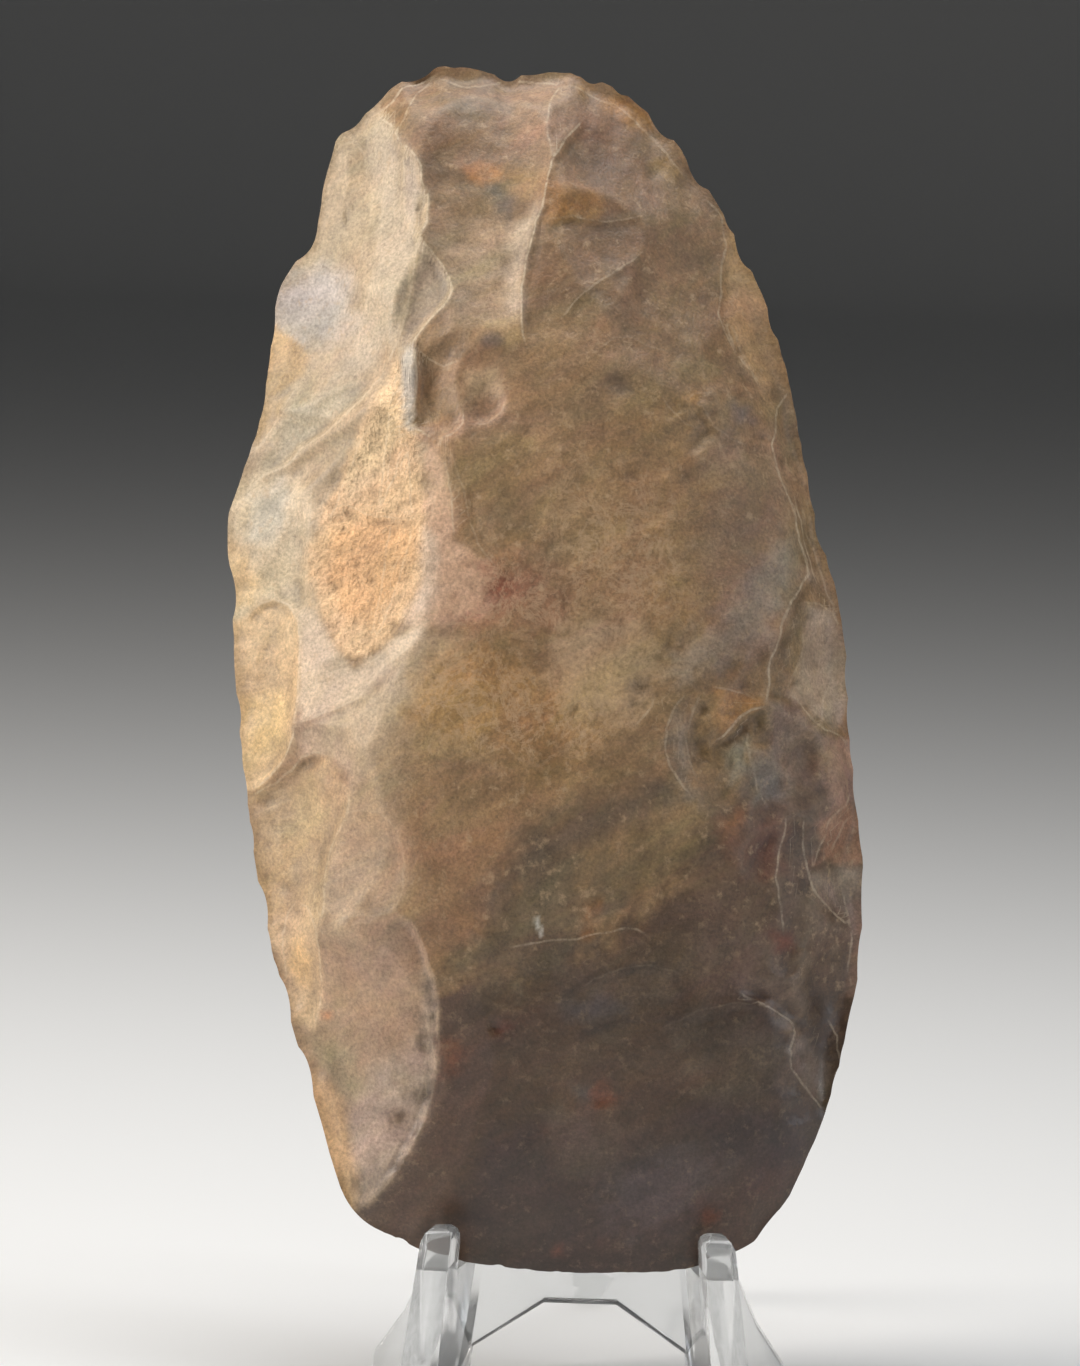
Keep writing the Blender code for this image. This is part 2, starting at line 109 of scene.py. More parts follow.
# The stone's form keeps its proportions: every number from here to its flakes is in hundredths
# of the head's length, across to the right and up from its middle, seen from the front.
OUTLINE = [
    (-9.5, 50.1), (-15.9, 45.9), (-18.9, 41.5), (-19.2, 37.6), (-22.5, 31.0), (-23.4, 24.0),
    (-24.4, 18.8), (-26.4, 12.6), (-26.1, 4.5), (-25.0, -8.3), (-23.1, -20.7), (-18.3, -37.4),
    (-16.0, -44.2), (-11.1, -47.6), (-2.3, -49.6), (6.0, -49.9), (13.5, -49.0), (18.9, -45.7),
    (21.1, -41.6), (24.6, -31.5), (26.2, -21.0), (25.3, -8.3), (24.6, 2.0), (21.3, 16.7),
    (19.6, 25.1), (16.7, 33.4), (12.6, 40.8), (6.0, 48.0), (2.3, 49.5), (-4.0, 49.5),
]
HALF_WIDTH = 26.3
HALF_LENGTH = 50.0

# A flake scar is a shallow oval bowl. Its lean is to the right at its top, in degrees, and it is
# heavy on its right side, or on its left where the number is negative.
Flake = namedtuple("Flake", "across up half_width half_height lean depth heavy", defaults=[0.0])

# Each face has large flanks struck off first, and the smaller scars that cut into them
FRONT_FLANKS = {
    "upper left": Flake(-22.0, 39.0, 11.8, 10.5, 15, 3.0),
    "left shoulder": Flake(-25.0, 28.5, 13.5, 9.5, 18, 3.2),
    "left side": Flake(-30.0, 9.0, 20.5, 20.0, 4, 3.6),
    "lower left side": Flake(-28.0, -13.0, 14.5, 14.0, 0, 3.0),
    "great lower left": Flake(-22.5, -33.5, 14.0, 13.0, -4, 2.6),
    "upper right": Flake(18.0, 43.0, 16.5, 20.0, -38, 2.6),
    "right shoulder": Flake(24.0, 26.0, 11.0, 14.0, -12, 2.2),
    "right side": Flake(31.0, 4.0, 10.5, 20.0, -8, 2.6),
    "lower right side": Flake(30.0, -24.0, 8.5, 20.0, 6, 2.2),
    "butt": Flake(-4.0, 54.0, 12.0, 7.0, 0, 1.6),
}
FRONT_SCARS = {
    "upper left scar": Flake(-16.6, 40.4, 5.8, 8.8, 15, 0.8),
    "shoulder scar": Flake(-18.6, 29.6, 7.6, 7.2, 20, 0.8),
    "ochre corner": Flake(-22.0, 25.2, 3.4, 4.2, -10, 0.7),
    "wedge beside the ridge": Flake(-10.2, 30.8, 3.0, 5.8, 16, 0.9, -0.5),
    "upper middle scar": Flake(-5.4, 38.4, 5.8, 11.0, 3, 1.1, -0.3),
    "upper right scar": Flake(6.0, 43.4, 6.8, 5.4, 20, 1.0),
    "right brow scar": Flake(5.0, 34.8, 5.6, 3.6, 62, 0.7, -0.4),
    "right shoulder scar": Flake(11.4, 29.6, 6.4, 8.2, -24, 1.0, 0.4),
    "right shoulder edge": Flake(17.4, 30.4, 2.8, 7.0, -14, 0.9),
    "stepped scar": Flake(-8.4, 23.0, 2.9, 4.4, 4, 0.7, -0.7),
    "second stepped scar": Flake(-5.0, 22.4, 3.0, 3.8, -8, 0.6, -0.7),
    "upper left furrow": Flake(-20.4, 20.2, 2.1, 8.0, 57, 0.9),
    "lower left furrow": Flake(-20.8, 16.4, 1.9, 7.2, 52, 0.9),
    "cortex hollow": Flake(-14.8, 11.2, 5.4, 11.8, 6, 0.7),
    "left margin scar": Flake(-22.8, 10.0, 3.6, 6.6, 0, 0.9),
    "golden scar": Flake(-24.2, -1.9, 3.8, 7.6, -4, 1.1),
    "pale band": Flake(-17.0, -4.2, 3.8, 8.0, 26, 0.6),
    "tan scar": Flake(-21.5, -15.0, 4.6, 7.4, 0, 1.1),
    "faint oval scar": Flake(-14.6, -16.9, 3.8, 4.8, 0, 0.5),
    "lower left margin scar": Flake(-20.9, -24.8, 2.6, 5.6, -8, 0.8),
    "right lens scar": Flake(20.2, 18.9, 1.6, 3.1, -12, 0.7),
    "right margin strip": Flake(22.8, 12.0, 2.3, 9.2, -13, 0.8),
    "right notch": Flake(16.8, -4.2, 2.6, 1.8, 60, 0.6, 0.5),
    "right middle edge scar": Flake(22.4, -0.7, 3.9, 6.3, -10, 1.1),
    "right bowl": Flake(17.6, -8.4, 7.2, 5.2, 10, 0.6, 0.7),
    "right lower edge scar": Flake(24.0, -15.6, 4.2, 5.4, 0, 1.1),
    "right bit edge scar": Flake(23.4, -32.0, 3.4, 5.4, 10, 0.9),
    "left butt chip": Flake(-9.2, 48.6, 3.1, 2.2, 0, 0.6),
    "middle butt chip": Flake(-2.0, 48.8, 4.0, 2.0, 0, 0.6),
    "right butt chip": Flake(4.6, 47.8, 2.8, 2.0, -20, 0.6),
}
BACK_FLANKS = {
    "upper right": Flake(20.0, 38.0, 13.0, 13.0, -20, 3.0),
    "right side": Flake(28.0, 14.0, 16.0, 18.0, -6, 3.2),
    "lower right side": Flake(29.0, -12.0, 13.5, 17.0, 6, 2.8),
    "right bit": Flake(25.0, -34.0, 11.0, 12.0, 14, 2.2),
    "upper left": Flake(-19.5, 38.0, 13.0, 12.0, 22, 3.0),
    "left side": Flake(-28.5, 12.0, 17.0, 19.0, 2, 3.4),
    "lower left side": Flake(-29.0, -14.0, 14.0, 16.0, -4, 2.8),
    "left bit": Flake(-24.0, -34.0, 10.0, 12.0, -10, 2.0),
    "butt": Flake(0.0, 55.0, 14.0, 9.0, 0, 2.0),
}
BACK_SCARS = {
    "upper right scar": Flake(12.6, 36.4, 6.8, 9.6, -22, 0.9),
    "right shoulder scar": Flake(18.0, 26.0, 5.0, 6.4, -40, 0.9, 0.4),
    "middle right scar": Flake(16.6, 14.4, 7.0, 6.2, -14, 0.8),
    "right belly scar": Flake(21.6, 3.0, 5.2, 6.6, 4, 1.0),
    "lower right scar": Flake(19.6, -11.0, 6.0, 8.2, 8, 0.9, 0.4),
    "right bit scar": Flake(20.6, -27.0, 4.4, 7.2, 14, 0.8),
    "butt scar": Flake(1.6, 42.6, 7.0, 6.8, 6, 1.0),
    "upper left scar": Flake(-12.6, 37.4, 6.2, 8.0, 24, 0.9),
    "left shoulder scar": Flake(-18.0, 24.0, 6.6, 7.4, 12, 0.9, -0.4),
    "middle ridge scar": Flake(-3.6, 27.6, 6.0, 9.6, -16, 0.8, -0.3),
    "left belly scar": Flake(-20.0, 7.0, 6.4, 7.6, -6, 0.9),
    "left inner scar": Flake(-11.8, -3.6, 4.6, 7.0, 24, 0.6),
    "lower left scar": Flake(-20.4, -12.6, 5.4, 8.4, -12, 0.9),
    "left bit scar": Flake(-18.4, -28.4, 4.4, 7.6, -14, 0.8),
    "small crest scar": Flake(5.6, 24.0, 3.4, 5.6, 30, 0.6, 0.5),
}

# The body under the flakes: how full its side and its middle are, and how the bit thins
BODY_POWER = 2.5
BODY_FULLNESS = 0.66
BIT_THINNING = 0.34
BIT_START = -12.0

# The scars never take the whole body: this share of it stays as the edge's wedge, with this
# softness where the scars run out on it, and at the rim the two faces blend into one edge
WEDGE_SHARE = 0.30
WEDGE_SOFTNESS = 0.20
RIM_BLEND = 40.0

# How far the flakes' outlines stray from true ovals, and the waves that bend them: strength,
# turn per hundredth across and up, and start
WANDER = 0.45
WAVES_SIDEWAYS = ((1.0, 0.21, 0.38, 0.4), (0.3, 1.1, -0.7, 2.1))
WAVES_UPWARD = ((1.0, 0.34, -0.29, 1.7), (0.3, 0.8, 1.0, 0.9))

# The rings round the place where a large flake was struck off: their spacing and height, the
# flake's depth from which they are full, and how much farther out than its middle they start
RIPPLE_SPACING = 2.3
RIPPLE_HEIGHT = 0.014
RIPPLE_FULL_DEPTH = 0.5
STRIKE_ACROSS = 1.25
STRIKE_UP = 1.12

# A crest's profile: half width of its rise, the foot of its fall, the length over which its ends
# fade and the room left there, the share of its rise that is kept, how far its line frays, the
# least of it that counts, and the distance that stands for no crest
CREST_HALF_WIDTH = 0.40
CREST_EDGE = 0.50
CREST_END = 1.2
CREST_END_ROOM = 0.25
CREST_RISE_KEPT = 0.5
CREST_FRAY = 0.16
CREST_LEAST = 0.02
NO_CREST = 9.0

# The lumps of the whole surface: size of the broad, the ragged and the fine ones, their heights,
# what the rind adds to the fine ones, and the share that the polish takes off
BROAD_LUMP = 6.0
RAGGED_LUMP = 1.7
FINE_LUMP = 0.8
BROAD_RELIEF = 0.12
RAGGED_RELIEF = 0.05
FINE_RELIEF = 0.030
RIND_RELIEF = 0.09
BROAD_POLISHED = 0.5
FINE_POLISHED = 0.7

# How sharply a thing is kept to the rim, as a power of the radius: the bites that the chips take
# from the outline, the end of the relief, the end of the marks, and the front's colour on the back
BITE_POWER = 14
RELIEF_POWER = 40
MARK_POWER = 24
TINT_POWER = 16

# Ridges and hollows are read from how far a place stands out of its blurred surroundings: what
# counts as a full one, the share that has to be passed first, and the steps of the blur. The
# material pales the ridges, partly as wear and partly as a painted highlight, and darkens the
# hollows as painted shade
RIDGE_HEIGHT = 0.045
RIDGE_START = 0.25
HOLLOW_DEPTH = 0.06
HOLLOW_START = 0.15
BLUR_STEPS = 6

# Near the mesh's four diagonals, in columns, nothing is read from the relief
KINK_NEAR = 3.0
KINK_FAR = 8.0

# The thinnest stone that relief is cut into
LEAST_HEIGHT = 1e-3

# The crests, step edges and hairlines of the front, drawn as pale lines that are partly worn stone
# and partly a painted highlight. Their points, and those of the stains further on, are places in
# the photograph, in its pixels. A crest rises over its line, and the ground falls on the walker's
# right by fall, or on the left where it is negative, and climbs back within reach. Rise, fall and
# reach are in hundredths of the length; how pale the line is, as wear and as a painted highlight,
# is from 0 to 1.
Crest = namedtuple("Crest", "rise fall reach wear points")
CRESTS = {
    "upper left crest": Crest(0.16, 0.30, 2.6, 0.95, [
        (372, 112), (388, 122), (396, 138), (410, 152), (419, 166), (420, 180), (424, 192),
        (427, 205), (424, 222), (418, 238), (428, 250), (440, 265), (449, 282), (452, 292),
        (444, 305), (430, 320), (416, 338), (404, 354)]),
    "wedge's inner edge": Crest(0.05, 0.12, 1.2, 0.65, [
        (400, 146), (402, 172), (400, 196), (405, 222), (416, 240), (413, 268), (408, 300),
        (399, 336), (384, 372)]),
    "wedge's notch": Crest(0.05, -0.16, 0.8, 0.6, [(420, 196), (412, 208), (413, 226), (420, 236)]),
    "first hackle": Crest(0.03, 0.04, 0.8, 0.25, [
        (380, 140), (384, 180), (377, 230), (368, 290), (350, 350)]),
    "second hackle": Crest(0.03, 0.04, 0.8, 0.2, [(366, 150), (368, 210), (356, 262), (352, 300)]),
    "small oval": Crest(0.04, -0.05, 0.8, 0.3, [
        (338, 142), (352, 138), (362, 152), (363, 172), (354, 187), (343, 186)]),
    "butt corner": Crest(0.10, 0.14, 1.2, 0.7, [
        (372, 112), (388, 100), (400, 86), (420, 80), (434, 70)]),
    "butt corner's inner edge": Crest(0.05, 0.10, 1.0, 0.45, [
        (428, 78), (412, 92), (404, 110), (396, 130)]),
    "butt rim": Crest(0.06, -0.20, 1.0, 0.45, [
        (434, 72), (456, 82), (478, 84), (505, 78), (540, 80), (566, 84)]),
    "middle crest": Crest(0.20, -0.16, 2.6, 0.85, [
        (580, 116), (562, 140), (551, 158), (546, 175), (542, 192), (540, 207), (534, 222),
        (529, 245), (523, 268), (520, 292), (521, 318), (524, 346)]),
    "middle crest's upper arm": Crest(0.08, -0.12, 2.0, 0.4, [
        (560, 78), (548, 100), (543, 122), (548, 142), (551, 158)]),
    "brow line": Crest(0.04, 0.10, 1.0, 0.3, [(545, 222), (570, 217), (600, 221), (640, 214)]),
    "diagonal crest": Crest(0.08, -0.08, 1.6, 0.45, [
        (642, 250), (620, 268), (600, 281), (585, 293), (572, 305), (560, 322)]),
    "right shoulder line": Crest(0.07, -0.20, 1.8, 0.5, [
        (704, 196), (718, 212), (722, 228), (724, 245), (719, 265), (720, 290), (716, 310),
        (724, 332), (732, 348), (744, 364), (757, 384)]),
    "right shoulder inner line": Crest(0.04, -0.06, 0.8, 0.3, [
        (727, 318), (738, 345), (750, 366), (762, 380)]),
    "right butt line": Crest(0.05, -0.14, 1.2, 0.4, [
        (566, 82), (590, 92), (618, 104), (640, 124), (660, 146), (684, 176)]),
    "right main crest": Crest(0.12, -0.34, 2.2, 0.8, [
        (786, 392), (776, 408), (774, 425), (771, 445), (775, 470), (785, 495), (793, 507),
        (795, 525), (799, 545), (805, 560), (806, 575), (798, 592), (790, 605), (783, 620),
        (778, 640), (772, 655), (768, 672), (768, 690), (764, 708)]),
    "right margin line": Crest(0.05, -0.14, 0.9, 0.4, [
        (800, 505), (804, 530), (814, 556), (824, 588), (836, 612)]),
    "notch floor": Crest(0.12, -0.46, 1.4, 0.95, [
        (765, 708), (750, 711), (738, 720), (727, 734), (716, 742)]),
    "notch top": Crest(0.03, 0.10, 0.8, 0.35, [(762, 704), (745, 697), (728, 692), (710, 690)]),
    "bowl's outer arc": Crest(0.06, -0.14, 1.2, 0.5, [
        (686, 698), (674, 711), (667, 730), (665, 748), (670, 766), (678, 780), (690, 798)]),
    "bowl's inner arc": Crest(0.04, -0.08, 0.8, 0.3, [
        (699, 700), (691, 720), (686, 740), (689, 762), (698, 782)]),
    "crystal edge": Crest(0.04, 0.12, 0.8, 0.4, [
        (748, 722), (745, 742), (752, 766), (757, 790), (766, 806)]),
    "right facet's rim": Crest(0.06, -0.16, 1.2, 0.55, [
        (800, 604), (818, 603), (832, 614), (841, 632), (843, 660)]),
    "right facet's side": Crest(0.05, -0.12, 1.0, 0.35, [
        (801, 624), (803, 648), (795, 672), (786, 692)]),
    "right facet's foot": Crest(0.07, -0.20, 1.0, 0.6, [
        (786, 694), (800, 705), (812, 720), (824, 731), (838, 735), (848, 748)]),
    "right facet's corner": Crest(0.05, 0.10, 0.8, 0.5, [(828, 684), (821, 704), (822, 726)]),
    "red crest": Crest(0.10, -0.18, 1.6, 0.6, [
        (786, 816), (784, 836), (778, 855), (775, 875), (779, 900), (783, 932)]),
    "right lower crest": Crest(0.08, -0.22, 1.4, 0.6, [
        (804, 818), (802, 845), (806, 868), (811, 886), (823, 901), (838, 914), (851, 926)]),
    "orange line": Crest(0.05, -0.12, 0.9, 0.45, [
        (853, 790), (842, 806), (828, 820), (822, 840), (815, 858), (808, 872)]),
    "orange hackle": Crest(0.05, 0.08, 0.6, 0.4, [(850, 812), (838, 830), (830, 850)]),
    "right rim line": Crest(0.06, -0.12, 0.7, 0.55, [
        (842, 890), (848, 915), (851, 940), (847, 965), (850, 985)]),
    "bit edge flakes": Crest(0.08, -0.24, 1.5, 0.5, [
        (738, 990), (758, 1000), (780, 1013), (793, 1020), (797, 1032), (790, 1046), (792, 1064),
        (802, 1080), (815, 1095), (823, 1106)]),
    "bit edge corner": Crest(0.05, -0.12, 0.8, 0.45, [
        (826, 1016), (837, 1032), (836, 1046), (840, 1060), (831, 1078)]),
    "step of the small scars": Crest(0.06, -0.42, 1.6, 0.75, [
        (411, 346), (415, 362), (416, 385), (415, 408), (414, 430), (426, 438)]),
    "strip beside the step": Crest(0.04, 0.16, 0.8, 0.4, [
        (402, 356), (403, 380), (402, 404), (405, 430), (410, 470)]),
    "first small scar's foot": Crest(0.05, 0.30, 1.2, 0.5, [
        (463, 408), (464, 424), (455, 436), (440, 442), (425, 438), (414, 430)]),
    "second small scar's foot": Crest(0.04, 0.18, 1.0, 0.35, [
        (506, 398), (500, 416), (486, 428), (470, 426)]),
    "small scars' top": Crest(0.04, -0.16, 0.8, 0.4, [
        (416, 348), (428, 362), (444, 368), (458, 362)]),
    "first cortex ridge": Crest(0.12, 0.14, 0.9, 0.6, [
        (398, 372), (392, 400), (386, 440), (383, 470), (377, 512)]),
    "second cortex ridge": Crest(0.11, 0.12, 0.9, 0.7, [
        (404, 392), (399, 430), (401, 455), (396, 474), (387, 492), (379, 512)]),
    "third cortex ridge": Crest(0.10, 0.12, 0.9, 0.6, [
        (366, 430), (352, 462), (340, 492), (328, 520)]),
    "fourth cortex ridge": Crest(0.08, -0.10, 0.8, 0.6, [
        (405, 440), (410, 470), (411, 500), (415, 524)]),
    "fifth cortex ridge": Crest(0.07, 0.08, 0.8, 0.45, [
        (392, 520), (386, 560), (380, 600), (372, 640)]),
    "sixth cortex ridge": Crest(0.07, 0.08, 0.8, 0.45, [
        (412, 530), (405, 566), (392, 606), (378, 640)]),
    "cortex step": Crest(0.05, 0.26, 1.0, 0.55, [
        (338, 504), (352, 508), (366, 516), (384, 517), (402, 521), (418, 520)]),
    "pink ridge": Crest(0.09, 0.10, 1.0, 0.6, [
        (444, 462), (449, 480), (453, 500), (453, 520), (457, 542)]),
    "pink edge": Crest(0.06, -0.10, 1.4, 0.25, [
        (430, 446), (452, 456), (462, 485), (470, 520), (481, 550), (498, 573)]),
    "upper left furrow's crest": Crest(0.16, -0.20, 1.4, 0.7, [
        (245, 457), (258, 449), (270, 432), (278, 414), (286, 399), (298, 384)]),
    "lower left furrow's crest": Crest(0.14, -0.22, 1.6, 0.75, [
        (252, 486), (266, 474), (280, 468), (291, 460), (297, 450), (312, 440), (330, 427),
        (346, 415), (361, 400), (376, 384), (392, 362)]),
    "left margin edge": Crest(0.05, 0.10, 1.2, 0.3, [
        (302, 462), (311, 484), (309, 520), (305, 560), (306, 610)]),
    "left margin hackle": Crest(0.04, 0.08, 0.9, 0.35, [
        (292, 492), (284, 520), (272, 548), (262, 580)]),
    "golden scar's edge": Crest(0.10, 0.28, 1.6, 0.7, [
        (246, 622), (253, 611), (262, 603), (275, 600), (288, 604), (297, 615), (300, 630),
        (301, 652), (300, 682), (299, 712), (296, 736), (289, 756), (276, 774), (258, 792)]),
    "tan scar's top": Crest(0.05, 0.34, 1.4, 0.5, [
        (254, 798), (266, 791), (280, 783), (294, 772), (304, 759), (318, 754), (330, 757)]),
    "tan scar's right edge": Crest(0.06, 0.18, 1.8, 0.5, [
        (346, 786), (352, 802), (350, 816), (342, 832), (334, 848), (330, 872), (329, 900),
        (326, 926)]),
    "pale band's crest": Crest(0.08, 0.08, 1.8, 0.45, [
        (301, 724), (320, 718), (344, 708), (362, 700), (373, 684), (390, 666), (414, 650),
        (430, 630)]),
    "pale band's hairline": Crest(0.03, 0.04, 0.6, 0.4, [
        (352, 694), (363, 682), (372, 666), (392, 650)]),
    "lower margin scar's left": Crest(0.05, -0.12, 0.9, 0.5, [
        (301, 902), (292, 914), (288, 938), (291, 966), (300, 1000)]),
    "lower margin scar's right": Crest(0.05, 0.14, 1.0, 0.5, [
        (301, 902), (312, 908), (320, 926), (326, 950), (327, 990), (320, 1030)]),
    "great scar's edge": Crest(0.07, 0.34, 3.2, 0.12, [
        (402, 914), (416, 924), (427, 944), (435, 965), (441, 985), (444, 1010), (444, 1040),
        (442, 1070), (437, 1095), (430, 1120), (418, 1145), (403, 1172), (385, 1192), (366, 1206)]),
    "great scar's top": Crest(0.03, -0.08, 2.0, 0.2, [
        (326, 930), (350, 920), (376, 917), (402, 914)]),
    "oval scar's edge": Crest(0.03, 0.07, 2.0, 0.2, [
        (345, 822), (362, 812), (385, 815), (402, 835), (408, 865), (406, 895), (400, 914)]),
    "great scar's ripple": Crest(0.03, 0.05, 1.4, 0.15, [
        (432, 1000), (434, 1040), (428, 1084), (414, 1126), (392, 1166)]),
    "pale vein": Crest(0.01, 0.0, 1.0, 0.5, [
        (514, 948), (545, 943), (560, 941), (580, 940), (600, 934), (620, 930), (640, 930),
        (650, 936)]),
    "upper belly line": Crest(0.04, 0.08, 0.9, 0.25, [
        (598, 352), (612, 340), (630, 338), (650, 350), (668, 352)]),
    "belly hackle": Crest(0.05, 0.10, 0.7, 0.35, [(683, 404), (692, 396), (704, 394)]),
    "second belly hackle": Crest(0.04, 0.08, 0.7, 0.3, [
        (660, 396), (668, 412), (682, 426), (700, 432)]),
    "third belly hackle": Crest(0.04, 0.07, 0.7, 0.25, [
        (700, 410), (712, 428), (730, 442), (748, 448)]),
    "gold edge": Crest(0.04, 0.12, 1.0, 0.4, [(654, 694), (652, 710), (640, 724), (628, 732)]),
    "bit ripple": Crest(0.03, 0.06, 2.4, 0.12, [(586, 986), (612, 972), (650, 964), (680, 972)]),
    "second bit ripple": Crest(0.03, 0.05, 2.0, 0.1, [
        (660, 1030), (700, 1010), (740, 1000), (764, 1006)]),
}

# Small scars of the front that are too fine for the solid, placed in the photograph's pixels:
# middle, half width, half height, lean in degrees, depth in hundredths, heavier side
Nick = namedtuple("Nick", "x y half_width half_height lean depth heavy", defaults=[0.0])
NICKS = {
    "lens": Nick(787, 440, 8, 30, -8, 0.45, -0.3),
    "broad right facet": Nick(820, 668, 30, 66, -8, 0.70, 0.3),
    "hollow under the right crest": Nick(790, 748, 24, 44, -22, 0.75, 0.4),
    "hollow by the bowl": Nick(706, 748, 26, 52, -12, 0.32, -0.4),
    "hollow under the crystals": Nick(728, 806, 34, 24, 30, 0.30),
    "strip beside the red crest": Nick(796, 862, 18, 52, -4, 0.60, 0.5),
    "grey facet": Nick(838, 896, 22, 32, -20, 0.55, 0.4),
    "low right facet": Nick(826, 968, 26, 46, 6, 0.45, -0.3),
    "bit's right facet": Nick(815, 1052, 19, 46, 10, 0.50, -0.3),
    "bit's second facet": Nick(792, 1012, 24, 20, 60, 0.26),
    "right margin facet": Nick(824, 560, 13, 62, -15, 0.50, 0.3),
    "upper right facet": Nick(744, 262, 15, 52, -17, 0.50, 0.3),
    "second upper right facet": Nick(770, 352, 13, 44, -17, 0.40),
    "third upper right facet": Nick(690, 160, 26, 16, 52, 0.36),
    "left shoulder facet": Nick(292, 300, 20, 30, 30, 0.34),
    "upper left facet": Nick(326, 190, 14, 44, 14, 0.36),
    "left edge facet": Nick(246, 690, 12, 52, -4, 0.40),
    "lower left facet": Nick(268, 860, 14, 56, -8, 0.40),
    "low left facet": Nick(330, 1120, 16, 44, -14, 0.34),
    "first small scar": Nick(440, 402, 24, 36, 4, 0.30, -0.6),
    "second small scar": Nick(484, 404, 20, 24, -20, 0.24, 0.5),
    "third small scar": Nick(452, 352, 26, 12, 30, 0.18),
    "pit": Nick(343, 213, 4, 5, 20, 0.18),
    "belly pit": Nick(578, 713, 7, 7, 0, 0.26),
    "gold hollow": Nick(640, 690, 12, 12, 20, 0.30),
    "second gold hollow": Nick(636, 706, 7, 5, 20, 0.20),
    "belly dimple": Nick(618, 388, 18, 12, 20, 0.14),
    "crystal pocket": Nick(768, 782, 20, 22, 10, 0.34),
    "red hollow": Nick(752, 838, 26, 20, -30, 0.30),
    "orange hollow": Nick(838, 840, 16, 22, -30, 0.34, 0.4),
    "rust pit": Nick(500, 1026, 9, 8, 30, 0.16),
    "second rust pit": Nick(606, 1096, 12, 7, -10, 0.12),
    "bit edge hollow": Nick(806, 1046, 14, 24, 10, 0.30),
    "notch hollow": Nick(745, 738, 18, 14, 30, 0.34),
    "shadow under the golden scar": Nick(310, 766, 14, 8, -30, 0.24),
    "second shadow": Nick(272, 802, 12, 7, -20, 0.22),
    "butt nick": Nick(636, 116, 8, 6, -40, 0.24),
    "ochre nick": Nick(655, 166, 20, 8, -40, 0.16),
    "shoulder nick": Nick(738, 262, 10, 34, -14, 0.32),
    "left furrow nick": Nick(268, 424, 8, 22, 36, 0.34),
    "left edge nick": Nick(250, 520, 8, 20, 10, 0.26),
    "left edge second nick": Nick(246, 580, 7, 18, -6, 0.24),
}

# Zones of the front that are broken up by many small scars, struck by a seeded hand: how many,
# their size and depth in hundredths of the length, and the zone's corners in the photograph
Battered = namedtuple("Battered", "count size depth points")
BATTERED_SEED = 11
BATTERED_FEW_LARGE = 1.7
BATTERED_WIDTH = (0.55, 1.0)
BATTERED_LENGTH = (0.8, 1.5)
BATTERED_HEAVY = (-0.9, 0.9)
BATTERED_ZONES = {
    "right margin": Battered(80, (0.8, 2.8), (0.22, 0.75), [
        (790, 600), (850, 620), (860, 1000), (800, 1010), (776, 930), (756, 800), (700, 770),
        (684, 700), (756, 650)]),
    "upper right margin": Battered(26, (0.7, 1.9), (0.16, 0.46), [
        (716, 200), (770, 300), (812, 440), (838, 600), (800, 590), (780, 430), (730, 340)]),
    "hackles by the shoulder": Battered(34, (0.5, 1.6), (0.10, 0.30), [
        (640, 350), (720, 370), (800, 420), (790, 470), (730, 460), (660, 430)]),
    "left margin": Battered(22, (0.8, 2.4), (0.16, 0.46), [
        (230, 440), (280, 440), (300, 600), (246, 620), (225, 600)]),
    "lower left margin": Battered(30, (0.7, 2.0), (0.14, 0.40), [
        (225, 620), (262, 640), (280, 800), (296, 930), (310, 1080), (290, 1100), (240, 860)]),
    "bit's right edge": Battered(24, (0.8, 2.2), (0.18, 0.50), [
        (744, 984), (860, 960), (836, 1130), (800, 1150), (786, 1050)]),
    "butt's rim": Battered(26, (0.8, 2.3), (0.16, 0.46), [
        (350, 60), (700, 60), (712, 170), (640, 120), (600, 100), (450, 96), (370, 130)]),
    "belly's pits": Battered(70, (0.25, 0.60), (0.04, 0.14), [
        (520, 610), (640, 600), (700, 660), (670, 740), (560, 760), (500, 700)]),
    "whole belly": Battered(26, (0.9, 2.6), (0.03, 0.10), [
        (430, 450), (640, 350), (780, 500), (760, 700), (640, 900), (440, 920), (400, 700)]),
    "cortex": Battered(110, (0.35, 0.8), (0.06, 0.20), [
        (398, 366), (424, 470), (428, 576), (384, 648), (340, 660), (310, 560), (338, 478)]),
}

# Chips along the whole rim, struck by a seeded hand on both faces
RIM_CHIPS = 190
RIM_CHIP_SEED = 7
RIM_CHIP_HALF_WIDTH = (0.5, 1.9)
RIM_CHIP_REACH = (0.6, 2.4)
RIM_CHIP_DEPTH = (0.12, 0.55)
RIM_CHIP_BITE = (0.0, 0.0200)
RIM_CHIP_STRAY = 0.8
RIM_CHIP_FEW_LARGE = 1.6
RIM_MEAN_REACH = 36.0

# Chips of this size and more show on both faces, and the bit's are this share of the others
BOTH_FACES_SIZE = 0.55
BIT_CHIP_LINE = -0.80
BIT_CHIP_SHARE = 0.22

# Colours of the stone, seen in plain light
CREAM = "#B69F81"
PALE_CREAM = "#C4B096"
MILKY_GREY = "#B9AFA6"
CORTEX = "#E2BD94"
PINKISH_TAN = "#CEA98C"
TAUPE = "#83674A"
PALE_TAUPE = "#A0866A"
WARM_BROWN = "#8E7150"
GOLD_BROWN = "#A17C4E"
RED_BROWN = "#8A6349"
DARK_OLIVE = "#645543"
UMBER = "#65503F"
DARK_BROWN = "#4B3828"
PURPLE_BLACK = "#423129"
MAUVE_TAN = "#A58F7E"
SCAR_TAN = "#A2856B"
RUST = "#8C5A33"
DEEP_RED = "#6C4839"
# The pale of the crests' lines: worn stone and a painted highlight together
WORN_AND_HIGHLIT_EDGE = "#E0CDB0"

